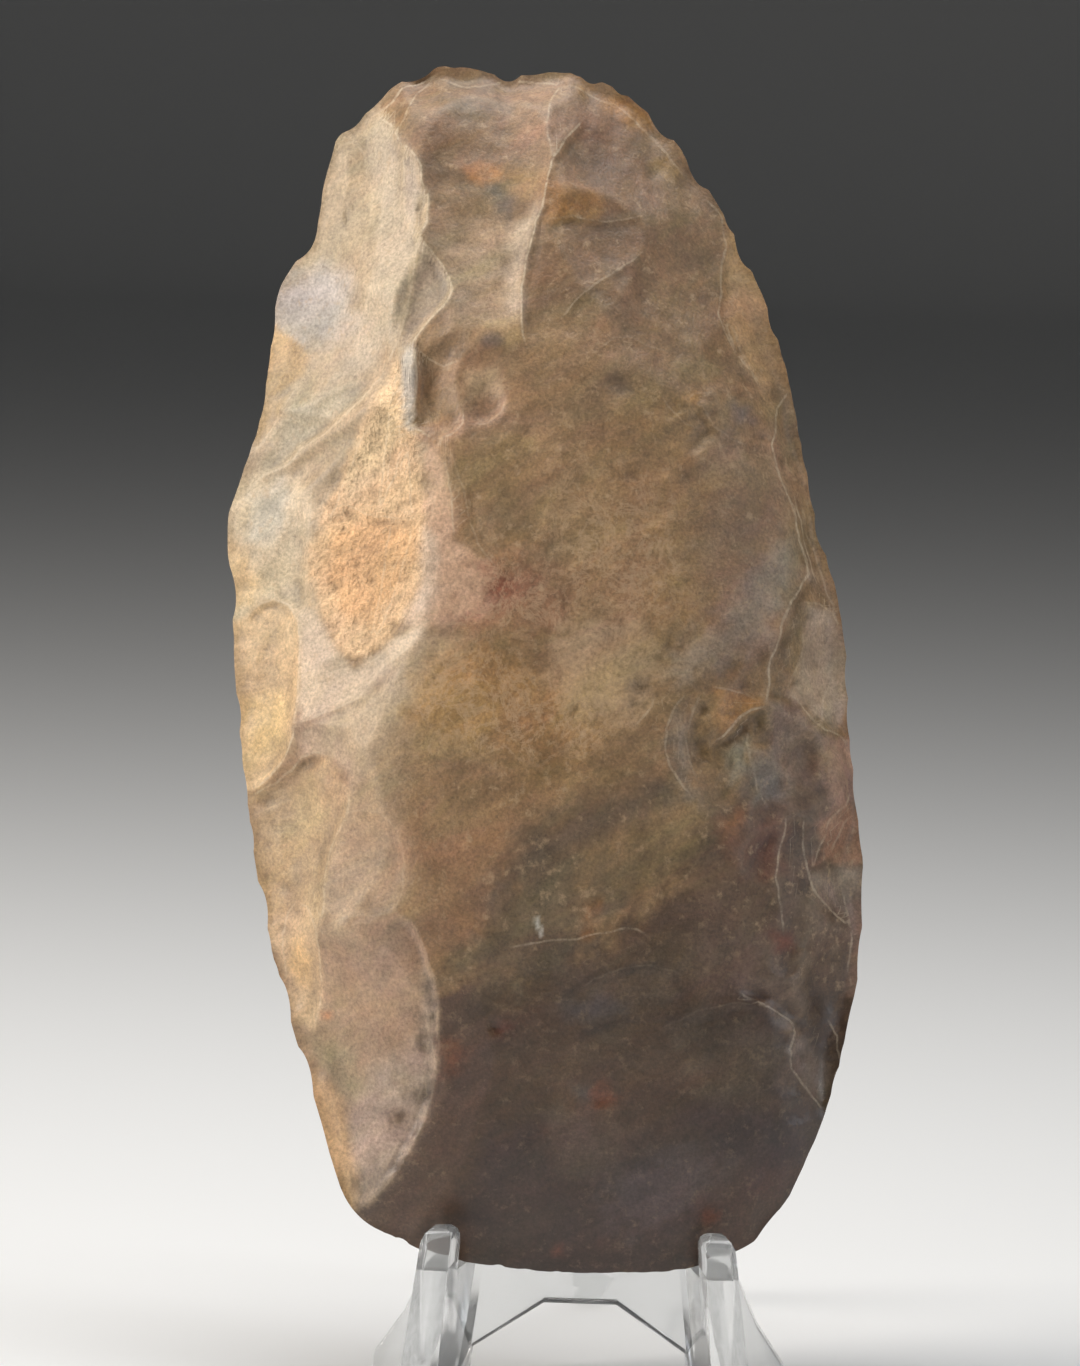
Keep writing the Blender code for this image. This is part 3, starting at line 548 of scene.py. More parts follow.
# A stain is a closed patch of one colour: how soft and how ragged its edge is, in hundredths of
# the length, how strongly it covers, and its corners in the photograph
Stain = namedtuple("Stain", "colour soft ragged cover points")
FRONT_STAINS = {
    "butt": Stain(TAUPE, 2.0, 1.0, 1.0, [
        (395, 50), (600, 50), (720, 180), (800, 330), (790, 380), (700, 372), (600, 340),
        (548, 306), (500, 322), (430, 330), (398, 240), (396, 140)]),
    "butt's pale foot": Stain(PALE_TAUPE, 1.6, 0.8, 0.8, [
        (430, 235), (512, 205), (540, 215), (522, 262), (520, 312), (500, 330), (452, 330),
        (440, 300)]),
    "middle crest's pale side": Stain("#BFA88F", 0.7, 0.4, 0.85, [
        (510, 222), (530, 214), (540, 200), (528, 252), (521, 296), (523, 326), (503, 318),
        (508, 262)]),
    "butt's pale strip": Stain("#98795D", 1.4, 0.6, 0.8, [
        (500, 78), (560, 80), (552, 120), (546, 172), (520, 150), (505, 110)]),
    "right of the crest": Stain("#7B5F44", 0.7, 0.5, 0.9, [
        (562, 142), (580, 118), (640, 150), (660, 200), (640, 246), (575, 300), (530, 322),
        (524, 280), (532, 240), (546, 190)]),
    "brow ochre": Stain("#9D7039", 0.9, 0.6, 0.75, [
        (548, 186), (590, 190), (600, 208), (592, 219), (548, 222)]),
    "orange ring": Stain("#BA8250", 0.5, 0.3, 0.75, [
        (464, 168), (480, 161), (498, 166), (506, 178), (484, 184), (466, 180)]),
    "ring's heart": Stain("#A98565", 0.3, 0.2, 0.7, [
        (474, 170), (488, 169), (492, 176), (478, 178)]),
    "ring's glow": Stain("#B3895C", 1.0, 0.5, 0.6, [
        (500, 168), (540, 178), (538, 198), (512, 194)]),
    "ring's blue": Stain("#685A4E", 0.7, 0.5, 0.75, [
        (485, 184), (498, 182), (514, 200), (510, 226), (498, 216), (490, 200)]),
    "second blue": Stain("#665B54", 0.5, 0.4, 0.8, [
        (480, 342), (492, 334), (502, 342), (496, 352), (478, 354)]),
    "second blue's halo": Stain("#B59A6C", 0.8, 0.5, 0.6, [
        (472, 322), (522, 318), (526, 340), (508, 350), (500, 334), (478, 334)]),
    "upper left cream": Stain(CREAM, 0.35, 0.2, 1.0, [
        (375, 105), (388, 122), (396, 138), (410, 152), (419, 166), (420, 180), (425, 194),
        (427, 206), (424, 222), (418, 238), (428, 250), (440, 265), (449, 282), (452, 292),
        (444, 305), (430, 320), (414, 340), (412, 380), (414, 430), (430, 450), (420, 480),
        (300, 640), (225, 660), (215, 500), (240, 360), (262, 280), (305, 160), (345, 110)]),
    "pale ridge side": Stain(PALE_CREAM, 0.6, 0.4, 0.9, [
        (376, 112), (390, 124), (398, 150), (399, 200), (414, 244), (405, 300), (392, 340),
        (350, 380), (330, 380), (350, 330), (372, 270), (374, 200), (366, 150)]),
    "wedge": Stain("#AE9882", 0.35, 0.2, 0.95, [
        (420, 244), (432, 256), (446, 282), (448, 292), (430, 316), (410, 334), (402, 344),
        (408, 310), (414, 270)]),
    "wedge's upper end": Stain("#B7A490", 0.35, 0.2, 0.85, [
        (402, 150), (414, 162), (418, 180), (416, 200), (410, 226), (404, 216), (402, 190)]),
    "milky patch": Stain(MILKY_GREY, 1.4, 0.6, 0.9, [
        (272, 296), (290, 278), (322, 262), (346, 276), (348, 316), (326, 336), (300, 342),
        (272, 326)]),
    "ochre corner": Stain("#C2A177", 0.25, 0.15, 1.0, [
        (255, 318), (275, 328), (300, 345), (307, 354), (303, 372), (286, 384), (272, 398),
        (255, 398)]),
    "grey green furrow": Stain("#B8AA90", 0.8, 0.4, 0.9, [
        (262, 462), (276, 436), (290, 402), (320, 392), (352, 380), (362, 396), (330, 424),
        (297, 446), (286, 462), (266, 472)]),
    "upper furrow gold": Stain("#CDAE82", 0.5, 0.3, 0.8, [
        (246, 440), (262, 402), (282, 398), (274, 420), (258, 446)]),
    "left margin": Stain("#CDB899", 1.0, 0.5, 0.9, [
        (225, 480), (300, 470), (312, 500), (306, 560), (302, 620), (262, 602), (225, 630)]),
    "left margin milk": Stain("#C9C0AE", 0.8, 0.5, 0.7, [
        (252, 500), (282, 478), (290, 500), (272, 540), (250, 540)]),
    "left margin gold": Stain("#D9B482", 0.8, 0.4, 0.7, [
        (228, 540), (246, 548), (262, 582), (256, 604), (228, 612)]),
    "cortex": Stain(CORTEX, 0.6, 0.6, 1.0, [
        (398, 366), (404, 390), (414, 436), (424, 470), (426, 520), (428, 576), (410, 616),
        (384, 648), (356, 668), (338, 650), (316, 604), (310, 548), (320, 512), (338, 478),
        (356, 440), (380, 396)]),
    "cortex's bright top": Stain("#E6C9A0", 0.6, 0.5, 0.8, [
        (396, 372), (402, 400), (400, 440), (388, 470), (350, 500), (340, 490), (362, 440),
        (380, 400)]),
    "cortex's orange": Stain("#DDAC7A", 0.9, 0.8, 0.7, [
        (330, 530), (370, 520), (414, 526), (422, 548), (400, 590), (372, 630), (350, 620),
        (326, 580)]),
    "strip beside the step": Stain("#CFC3B4", 0.3, 0.2, 0.9, [
        (402, 352), (412, 348), (416, 380), (415, 410), (413, 436), (404, 430), (402, 390)]),
    "pinkish zone": Stain(PINKISH_TAN, 0.6, 0.6, 0.95, [
        (424, 440), (446, 462), (456, 500), (458, 540), (480, 560), (499, 576), (502, 596),
        (484, 622), (440, 632), (412, 628), (424, 590), (428, 530)]),
    "pinkish zone's pale side": Stain("#D5BBA2", 0.6, 0.5, 0.8, [
        (424, 530), (440, 545), (442, 580), (432, 616), (404, 632), (420, 590)]),
    "brown above the pink": Stain("#A07F61", 0.6, 0.5, 0.8, [
        (426, 444), (452, 452), (462, 480), (464, 512), (455, 520), (446, 470)]),
    "small scars": Stain("#957657", 0.4, 0.4, 0.95, [
        (417, 346), (448, 344), (500, 352), (508, 398), (502, 420), (470, 430), (455, 440),
        (430, 442), (415, 430), (417, 380)]),
    "first small scar's floor": Stain("#8A6D4C", 0.5, 0.3, 0.9, [
        (420, 384), (446, 384), (458, 410), (450, 430), (428, 432), (418, 424)]),
    "small scar's pale dot": Stain("#B59B78", 0.5, 0.4, 0.7, [
        (462, 372), (496, 372), (498, 396), (470, 400)]),
    "left belly": Stain("#A98D6E", 1.6, 0.9, 0.85, [
        (404, 640), (432, 628), (470, 640), (450, 700), (420, 740), (404, 800), (410, 900),
        (350, 910), (336, 850), (352, 800), (350, 740), (380, 700)]),
    "pale band": Stain("#CBB397", 0.5, 0.4, 1.0, [
        (301, 612), (318, 612), (338, 652), (356, 670), (396, 642), (430, 624), (424, 644),
        (394, 668), (372, 692), (362, 702), (320, 720), (301, 726)]),
    "lower band": Stain("#B59D82", 0.9, 0.5, 0.95, [
        (301, 728), (362, 702), (396, 672), (424, 650), (424, 690), (392, 744), (356, 790),
        (336, 762), (304, 762)]),
    "golden scar": Stain("#CCAC83", 0.3, 0.15, 1.0, [
        (222, 640), (246, 618), (262, 603), (275, 600), (288, 604), (297, 615), (300, 630),
        (301, 682), (299, 712), (294, 742), (284, 764), (262, 790), (232, 806)]),
    "golden scar's glow": Stain("#DDBB84", 0.9, 0.5, 0.7, [
        (246, 700), (280, 690), (290, 720), (276, 752), (254, 770)]),
    "tan scar": Stain("#B49773", 0.35, 0.2, 1.0, [
        (236, 806), (262, 794), (292, 776), (306, 760), (330, 757), (346, 780), (352, 804),
        (342, 834), (332, 852), (329, 924), (316, 940), (292, 960), (250, 900)]),
    # Painted shadows under the step above the tan scar
    "tan scar's painted shadow": Stain("#A58763", 0.4, 0.3, 0.85, [
        (300, 764), (314, 757), (326, 762), (318, 772), (298, 776)]),
    "second painted shadow": Stain("#A38663", 0.4, 0.3, 0.8, [
        (262, 798), (278, 795), (284, 800), (270, 808), (258, 806)]),
    "faint oval": Stain("#AC8E71", 0.8, 0.4, 0.9, [
        (336, 846), (350, 822), (376, 812), (402, 834), (408, 872), (402, 912), (368, 916),
        (330, 926)]),
    "great scar": Stain(SCAR_TAN, 0.30, 0.12, 1.0, [
        (326, 930), (350, 920), (402, 914), (416, 924), (427, 944), (435, 965), (441, 985),
        (444, 1010), (444, 1040), (442, 1070), (437, 1095), (430, 1120), (418, 1145), (403, 1172),
        (385, 1192), (366, 1208), (330, 1190), (290, 1060), (300, 1000), (326, 990)]),
    "great scar's mauve": Stain(MAUVE_TAN, 1.6, 0.6, 0.95, [
        (350, 1120), (380, 1070), (420, 1040), (446, 1030), (440, 1100), (404, 1180), (366, 1210),
        (352, 1180)]),
    "great scar's pale edge": Stain("#AF9A87", 0.7, 0.3, 0.8, [
        (428, 960), (444, 1010), (444, 1050), (436, 1100), (416, 1150), (402, 1160), (420, 1110),
        (430, 1050)]),
    "great scar's olive": Stain("#938367", 1.2, 0.7, 0.7, [
        (322, 1040), (352, 1050), (372, 1088), (352, 1100), (328, 1074)]),
    "great scar's ochre edge": Stain("#CCA67C", 0.7, 0.4, 0.85, [
        (300, 1070), (332, 1078), (352, 1110), (362, 1160), (366, 1210), (330, 1190)]),
    "lower margin scar": Stain("#C4A581", 0.35, 0.2, 1.0, [
        (276, 930), (292, 912), (301, 902), (313, 908), (321, 928), (327, 956), (327, 992),
        (321, 1030), (300, 1020)]),
    "orange spot": Stain("#DFB782", 0.5, 0.3, 0.85, [
        (296, 940), (308, 938), (316, 962), (314, 986), (304, 984), (296, 962)]),
    "small orange mark": Stain("#B4794E", 0.3, 0.2, 0.7, [
        (328, 1012), (336, 1011), (337, 1019), (329, 1019)]),
    "middle gold": Stain(GOLD_BROWN, 1.6, 1.6, 0.75, [
        (420, 670), (470, 650), (560, 680), (640, 690), (600, 750), (520, 770), (440, 750),
        (410, 716)]),
    "upper belly gold": Stain("#9E7C57", 3.0, 2.0, 0.7, [
        (560, 470), (640, 480), (690, 540), (680, 620), (600, 640), (540, 580)]),
    "belly's red": Stain(RED_BROWN, 1.4, 1.4, 0.7, [
        (470, 560), (520, 560), (570, 590), (560, 640), (500, 640), (440, 636), (470, 600)]),
    "red spot": Stain("#7A452F", 0.5, 0.5, 0.8, [
        (490, 584), (508, 580), (514, 592), (500, 602), (488, 596)]),
    "belly's white mottling": Stain("#B79A79", 1.2, 1.6, 0.55, [
        (560, 640), (640, 620), (660, 670), (640, 720), (580, 730), (540, 690)]),
    "dark dimple": Stain("#6F5A45", 0.9, 0.7, 0.7, [
        (606, 378), (626, 376), (632, 394), (612, 402)]),
    "blue dot": Stain("#6A6060", 0.8, 0.5, 0.7, [(732, 406), (748, 408), (750, 424), (736, 426)]),
    "ochre fleck": Stain("#AE8049", 0.5, 0.4, 0.8, [
        (682, 400), (694, 392), (704, 394), (694, 406)]),
    "right taupe": Stain("#8C7056", 2.0, 1.2, 0.75, [
        (700, 440), (790, 430), (800, 520), (800, 590), (770, 660), (720, 650), (700, 560)]),
    "blue band": Stain("#938371", 1.4, 1.0, 0.8, [
        (790, 540), (800, 580), (760, 640), (720, 670), (680, 690), (672, 660), (710, 630),
        (744, 580)]),
    "belly's rust shade": Stain("#8C6B47", 1.4, 1.2, 0.7, [
        (500, 700), (560, 700), (600, 760), (560, 800), (490, 790)]),
    "lower belly": Stain("#8D6D4C", 2.0, 1.4, 0.85, [
        (410, 760), (480, 760), (560, 800), (520, 900), (500, 950), (440, 960), (420, 900)]),
    "olive band": Stain(DARK_OLIVE, 1.5, 1.0, 0.9, [
        (690, 770), (680, 800), (630, 832), (590, 850), (570, 900), (530, 930), (510, 900),
        (516, 850), (550, 820), (600, 800), (650, 780)]),
    "gold under the band": Stain("#7F6646", 1.4, 1.2, 0.8, [
        (640, 830), (700, 820), (700, 860), (650, 900), (600, 910), (580, 890), (600, 856)]),
    "right brown": Stain(UMBER, 1.6, 1.0, 0.95, [
        (705, 812), (760, 780), (870, 770), (880, 1000), (800, 1020), (700, 980), (660, 930),
        (690, 880)]),
    "bit": Stain(DARK_BROWN, 3.0, 3.0, 1.0, [
        (445, 1004), (470, 970), (520, 948), (600, 926), (670, 900), (720, 930), (800, 990),
        (880, 990), (880, 1150), (800, 1290), (440, 1300), (340, 1224), (386, 1193), (404, 1172),
        (420, 1145), (431, 1120), (438, 1095), (443, 1070), (445, 1040)]),
    "bit's edge beside the scar": Stain("#564236", 0.25, 0.1, 0.9, [
        (446, 1000), (480, 980), (500, 1060), (470, 1160), (420, 1230), (366, 1212), (386, 1194),
        (404, 1174), (420, 1147), (431, 1122), (438, 1097), (444, 1070)]),
    "bit's purple": Stain(PURPLE_BLACK, 2.4, 1.4, 0.85, [
        (500, 1120), (600, 1130), (700, 1090), (820, 1100), (800, 1180), (700, 1290), (520, 1290),
        (450, 1220)]),
    "bit's olive": Stain("#5B4A3B", 1.8, 1.2, 0.7, [
        (560, 960), (660, 940), (700, 1000), (620, 1010), (560, 1000)]),
    "bit's blue": Stain("#4D4645", 1.0, 0.7, 0.8, [
        (572, 1000), (612, 996), (626, 1008), (596, 1022), (572, 1016)]),
    "bit's red brown": Stain("#58402F", 2.0, 2.2, 0.6, [
        (446, 1060), (480, 1050), (476, 1130), (440, 1210), (390, 1230), (372, 1214), (404, 1180),
        (432, 1120)]),
    "bit's warm middle": Stain("#5A4636", 2.0, 2.2, 0.7, [
        (520, 1040), (620, 1030), (700, 1060), (660, 1120), (560, 1110)]),
    "bit's olive right": Stain("#5C4D3D", 1.8, 1.8, 0.7, [
        (690, 1010), (780, 1020), (800, 1090), (730, 1110), (690, 1070)]),
    "bit's grey sheen": Stain("#5A4E49", 1.6, 1.6, 0.6, [
        (600, 1180), (760, 1120), (800, 1130), (700, 1210), (620, 1230)]),
    "bit's red edge": Stain("#573D2E", 1.6, 1.6, 0.6, [
        (700, 1180), (770, 1150), (800, 1180), (740, 1260), (700, 1240)]),
    "transition's olive": Stain("#6A5A45", 1.8, 2.4, 0.8, [
        (480, 900), (560, 860), (640, 880), (600, 940), (520, 980), (470, 960)]),
    "transition's brown": Stain("#5F4C3B", 1.4, 2.0, 0.75, [
        (600, 940), (700, 900), (740, 940), (700, 980), (620, 990)]),
    "brown under the vein": Stain("#6A5542", 1.2, 0.9, 0.7, [
        (456, 950), (520, 930), (560, 936), (540, 970), (480, 1000)]),
    "right dark scar": Stain("#6A5546", 1.2, 0.7, 0.8, [
        (700, 930), (790, 940), (800, 1000), (760, 1004), (700, 990)]),
    "white mark": Stain("#CFC8BC", 0.14, 0.05, 0.9, [
        (537, 920), (541, 919), (547, 935), (544, 937)]),
    "bit's pale middle": Stain("#564639", 1.4, 1.6, 0.8, [
        (555, 1116), (600, 1108), (624, 1120), (620, 1166), (580, 1176), (552, 1150)]),
    "bit's right purple": Stain("#40302B", 1.2, 1.2, 0.8, [
        (692, 1112), (740, 1104), (798, 1122), (800, 1152), (750, 1160), (700, 1146)]),
    "bit's left purple": Stain("#42332E", 1.2, 1.2, 0.7, [
        (486, 1140), (520, 1128), (556, 1150), (548, 1182), (500, 1186)]),
    # The four folds are dark lines painted along the bit's ripples and edge: painted shade of the
    # folds
    "upper fold": Stain("#3C2D22", 0.35, 0.30, 0.75, [
        (566, 994), (584, 980), (602, 970), (642, 964), (668, 963), (680, 974), (684, 996),
        (678, 990), (672, 972), (644, 969), (606, 977), (588, 986), (570, 999)]),
    "lower fold": Stain("#3A2B22", 0.35, 0.30, 0.75, [
        (582, 1030), (606, 1022), (632, 1015), (660, 1013), (684, 1012), (690, 1006), (688, 1018),
        (662, 1019), (634, 1022), (608, 1030), (586, 1038)]),
    "right fold": Stain("#3A2C24", 0.40, 0.35, 0.7, [
        (734, 989), (750, 996), (768, 1010), (784, 1026), (788, 1042), (780, 1038), (764, 1018),
        (744, 1002)]),
    "low right fold": Stain("#382A24", 0.40, 0.35, 0.7, [
        (756, 1082), (776, 1083), (796, 1092), (804, 1104), (790, 1098), (770, 1090)]),
    "grey by the rust": Stain("#5F564E", 0.5, 0.5, 0.7, [
        (575, 1082), (592, 1078), (597, 1092), (584, 1098)]),
    "rust dot": Stain("#7A4F26", 0.9, 0.9, 0.8, [(583, 906), (596, 906), (598, 932), (586, 938)]),
    "second rust dot": Stain("#6E3A28", 0.5, 0.4, 0.8, [
        (770, 930), (790, 932), (794, 950), (776, 950)]),
    "third rust dot": Stain("#7E4C31", 0.6, 0.7, 0.7, [
        (596, 1088), (616, 1086), (622, 1098), (602, 1104)]),
    "fourth rust dot": Stain("#66402B", 1.0, 0.9, 0.8, [
        (446, 1040), (466, 1036), (464, 1074), (448, 1080)]),
    "fifth rust dot": Stain("#4A2A20", 0.6, 0.5, 0.85, [
        (494, 1024), (512, 1018), (522, 1028), (504, 1040)]),
    "sixth rust dot": Stain("#74452F", 0.4, 0.3, 0.7, [
        (706, 1206), (722, 1206), (722, 1216), (708, 1218)]),
    "seventh rust dot": Stain("#70422E", 0.4, 0.3, 0.7, [
        (558, 1238), (568, 1238), (568, 1250), (558, 1250)]),
    "red face": Stain(DEEP_RED, 1.4, 1.4, 0.75, [
        (716, 828), (784, 812), (788, 850), (770, 890), (730, 868)]),
    "orange slope": Stain("#8E5F42", 0.8, 0.7, 0.8, [
        (716, 820), (744, 812), (740, 836), (722, 846)]),
    "notch": Stain("#B1824F", 0.3, 0.2, 0.95, [
        (712, 690), (730, 692), (750, 698), (766, 706), (750, 712), (738, 720), (726, 735),
        (712, 730)]),
    "slope left of the notch": Stain("#94764F", 0.8, 0.6, 0.8, [
        (694, 700), (714, 692), (716, 732), (704, 770), (690, 750)]),
    "pale arcs": Stain("#857869", 0.8, 0.8, 0.55, [
        (688, 700), (676, 716), (668, 740), (674, 772), (690, 798), (686, 740)]),
    "crystals": Stain("#80796F", 0.8, 0.8, 0.75, [
        (752, 760), (780, 752), (792, 780), (780, 802), (756, 800)]),
    "second crystals": Stain("#928A7A", 0.7, 0.6, 0.7, [
        (724, 752), (744, 744), (748, 772), (728, 786)]),
    "right facet": Stain("#B49C84", 0.4, 0.3, 0.95, [
        (802, 606), (828, 610), (842, 636), (848, 700), (836, 730), (812, 716), (788, 694),
        (802, 650)]),
    # Painted shade on the darker side of the right facet
    "facet's painted shade": Stain("#8A6F50", 0.4, 0.3, 0.85, [
        (800, 596), (806, 610), (800, 650), (786, 690), (770, 700), (778, 650)]),
    "under the facet": Stain("#83695A", 0.7, 0.5, 0.8, [
        (770, 706), (800, 708), (824, 734), (820, 780), (784, 790), (764, 740)]),
    "right pink": Stain("#A88271", 0.6, 0.5, 0.7, [
        (828, 740), (862, 740), (866, 800), (836, 806), (824, 780)]),
    "orange red edge": Stain("#A67A5F", 0.6, 0.8, 0.75, [
        (822, 820), (850, 806), (868, 812), (866, 860), (840, 866), (816, 862)]),
    "grey hollow": Stain("#9A8471", 0.6, 0.4, 0.85, [
        (812, 876), (840, 862), (862, 870), (864, 920), (840, 914), (822, 898)]),
    "right rim rose": Stain("#9C7D6A", 0.5, 0.4, 0.8, [
        (846, 900), (872, 900), (862, 1000), (846, 990), (850, 940)]),
    "bit edge pale": Stain("#7C6B5C", 0.6, 0.5, 0.7, [
        (784, 1016), (800, 1030), (826, 1060), (826, 1104), (800, 1080), (790, 1050)]),
    # Gold painted along the thin upper right rim: a painted glow of light shining through the edge
    "right rim's painted glow": Stain("#D0AA76", 0.5, 0.4, 0.85, [
        (728, 236), (744, 232), (764, 280), (768, 306), (748, 300), (734, 270)]),
    "right shoulder": Stain("#AC8960", 0.8, 0.6, 0.85, [
        (722, 210), (770, 300), (806, 400), (782, 392), (750, 372), (722, 320), (724, 250)]),
    "ochre on the butt": Stain("#A87C48", 0.6, 0.6, 0.7, [
        (580, 84), (620, 94), (648, 116), (640, 130), (600, 104)]),
    "ochre lower on the butt": Stain("#A98758", 0.5, 0.5, 0.6, [
        (648, 160), (664, 156), (678, 170), (664, 174)]),
    "lens": Stain("#8C7658", 0.4, 0.2, 0.8, [
        (783, 414), (791, 410), (796, 430), (794, 456), (789, 468), (783, 452)]),
    "right rim tan": Stain("#A68662", 0.5, 0.3, 0.75, [
        (796, 440), (820, 500), (834, 560), (846, 610), (830, 610), (812, 560), (798, 500)]),
    "rim's pale chips": Stain("#B39B83", 0.3, 0.4, 0.6, [
        (838, 620), (850, 640), (852, 700), (846, 700), (842, 650)]),
}
BACK_STAINS = {
    "butt": Stain(TAUPE, 3.0, 2.0, 1.0, [
        (330, 40), (740, 40), (800, 420), (640, 330), (500, 360), (300, 420)]),
    "cream left": Stain("#BFA688", 0.6, 0.6, 0.9, [
        (250, 330), (380, 300), (430, 400), (400, 520), (330, 620), (210, 620)]),
    "gold right": Stain("#C3A178", 0.6, 0.5, 0.9, [
        (740, 300), (860, 420), (890, 640), (790, 660), (720, 560), (690, 420)]),
    "cortex": Stain(CORTEX, 0.9, 0.9, 0.95, [
        (560, 380), (660, 400), (690, 500), (640, 600), (570, 580), (540, 480)]),
    "pale belly": Stain("#AD9171", 2.4, 1.8, 0.8, [
        (420, 560), (560, 620), (640, 640), (600, 760), (460, 800), (380, 700)]),
    "gold belly": Stain(GOLD_BROWN, 2.0, 2.0, 0.8, [
        (440, 700), (560, 680), (640, 760), (560, 840), (440, 820)]),
    "tan right": Stain("#B89770", 0.5, 0.4, 0.9, [
        (760, 660), (880, 660), (880, 880), (800, 900), (750, 800)]),
    "olive band": Stain(DARK_OLIVE, 1.6, 1.2, 0.85, [
        (380, 800), (560, 850), (700, 820), (710, 880), (560, 920), (360, 880)]),
    "bit": Stain(DARK_BROWN, 1.6, 1.2, 1.0, [
        (200, 960), (400, 900), (560, 930), (700, 900), (900, 960), (880, 1320), (300, 1320)]),
    "bit's purple": Stain(PURPLE_BLACK, 2.4, 1.6, 0.85, [
        (420, 1100), (700, 1080), (760, 1180), (680, 1300), (420, 1300)]),
    "mauve scar": Stain(MAUVE_TAN, 0.5, 0.3, 0.9, [
        (700, 960), (780, 940), (850, 1000), (820, 1140), (760, 1190), (700, 1100)]),
    "rust": Stain(RUST, 0.6, 0.6, 0.7, [(500, 980), (540, 970), (560, 1000), (520, 1020)]),
}

# The stains whose ground is pitted and veined
PITTED_STAINS = ("belly's white mottling", "middle gold", "upper belly gold", "belly's red",
                 "pale belly", "gold belly")

# What flint_material reads from the mesh, beside its tint: among them the crests' lines and the
# ridges that it pales, as wear and as a painted highlight, and the hollows that it darkens as
# painted shade
READS = ("crest_gap", "wear", "ridge", "cortex", "polish", "hollow", "pitted")
Face = namedtuple("Face", "places tint reads")

# The slant of the stone's bedding and how it stretches what lies in it, how strongly streaks and
# drifts of hue follow it, and the veins' half width and strength
BEDDING_TURN = math.radians(-32.0)
BEDDING_STRETCH = (2.2, 1.0, 1.0)
STREAK_STRENGTH = 1.1
HUE_DRIFT = (0.60, 0.42, 0.72)
VEIN_HALF_WIDTH = 0.045
VEIN_STRENGTH = 0.55

# How much ridges are paled, as wear and as a painted highlight, what rind, polish and clouds add
# to the roughness, and how much the rind's granules and the flecks stand out beside the grain
RIDGE_WEAR_AND_HIGHLIGHT = 0.10
RIND_ROUGHNESS = 0.26
POLISH_ROUGHNESS = -0.14
CLOUD_ROUGHNESS = 0.16
RIND_BUMP = 2.2
FLECK_BUMP = 0.35

# The clear plastic: its waves and rubs, in millimetres, and the haze that the rubs add
WAVE_MM = 9.0
WAVE_DEPTH_MM = 0.12
RUB_MM = 1.1
RUB_HAZE = 0.14

# The board's tooth, in millimetres
TOOTH_MM = 0.8
TOOTH_DEPTH_MM = 0.03

# Corners closer than this are one, and edges flatter than these are shaded or left smooth
WELD = 0.002 * MILLIMETRE
STONE_SMOOTH = math.radians(38.0)
EASEL_SMOOTH = math.radians(30.0)
EASEL_FLAT = math.radians(0.5)
EASEL_SHARP = math.radians(25.0)
EASEL_ROUND_STEPS = 3


def smoothstep(low, high, values):
    share = np.clip((values - low) / (high - low), 0.0, 1.0)
    return share * share * (3.0 - 2.0 * share)


def linear(colour):
    """An sRGB hex value as a linear colour."""
    shares = [int(colour[place:place + 2], 16) / 255.0 for place in (1, 3, 5)]
    return tuple(share / 12.92 if share <= 0.04045 else ((share + 0.055) / 1.055) ** 2.4
                 for share in shares)


def on_the_stone(points):
    """Turn places in the photograph into hundredths of the stone's length from its middle."""
    return [((x - STONE_MIDDLE_X) / PIXELS_PER_HUNDREDTH,
             (STONE_MIDDLE_Y - y) / PIXELS_PER_HUNDREDTH) for x, y in points]


def as_seen(across, up, height):
    """Where a place on the front shows from the camera, which looks from a little below the
    face's own direction and nears what bulges toward it."""
    nearer = 1.0 + height * HUNDREDTH / VIEW_DISTANCE
    below = math.tan(HEAD_LEAN - VIEW_DOWN)
    return across * nearer - height * math.tan(VIEW_SIDEWAYS), up * nearer + height * below


def rim_chips():
    """Places, sizes and depths of the chips along the rim, the same on each run."""
    hand = random.Random(RIM_CHIP_SEED)
    chips = []
    for number in range(RIM_CHIPS):
        stray = hand.uniform(-RIM_CHIP_STRAY, RIM_CHIP_STRAY)
        angle = (number + stray) / RIM_CHIPS * 2.0 * math.pi - math.pi
        share = BIT_CHIP_SHARE if math.sin(angle) < BIT_CHIP_LINE else 1.0
        size = hand.random() ** RIM_CHIP_FEW_LARGE * share
        chips.append((angle, size, hand.random(), hand.random(), hand.random() < 0.5))
    return chips


def between(limits, share):
    return limits[0] + (limits[1] - limits[0]) * share


def outline_reach(angles):
    """How far the outline reaches at each angle, as a share of the plain ellipse."""
    points = np.array(OUTLINE) / (HALF_WIDTH, HALF_LENGTH)
    knots = np.arctan2(points[:, 1], points[:, 0])
    order = np.argsort(knots)
    knots = knots[order]
    reach = np.hypot(points[:, 0], points[:, 1])[order]
    turn = 2.0 * math.pi
    knots = np.concatenate([knots[-2:] - turn, knots, knots[:2] + turn])
    reach = np.concatenate([reach[-2:], reach, reach[:2]])
    slopes = np.gradient(reach, knots)
    low = np.clip(np.searchsorted(knots, angles) - 1, 1, len(knots) - 3)
    span = knots[low + 1] - knots[low]
    t = (angles - knots[low]) / span
    start = (1 + 2 * t) * (1 - t) ** 2 * reach[low] + t * (1 - t) ** 2 * span * slopes[low]
    end = t * t * (3 - 2 * t) * reach[low + 1] + t * t * (t - 1) * span * slopes[low + 1]
    return start + end


def rim_bite(angles):
    """How much of the outline's reach the chips take at each angle."""
    bitten = np.zeros_like(angles)
    for angle, size, sharp, _, _ in rim_chips():
        apart = np.abs((angles - angle + math.pi) % (2.0 * math.pi) - math.pi)
        arm = between(RIM_CHIP_HALF_WIDTH, size) / RIM_MEAN_REACH
        bite = between(RIM_CHIP_BITE, size * sharp)
        bitten = np.maximum(bitten, bite * np.clip(1.0 - (apart / arm) ** 2, 0.0, 1.0))
    return bitten


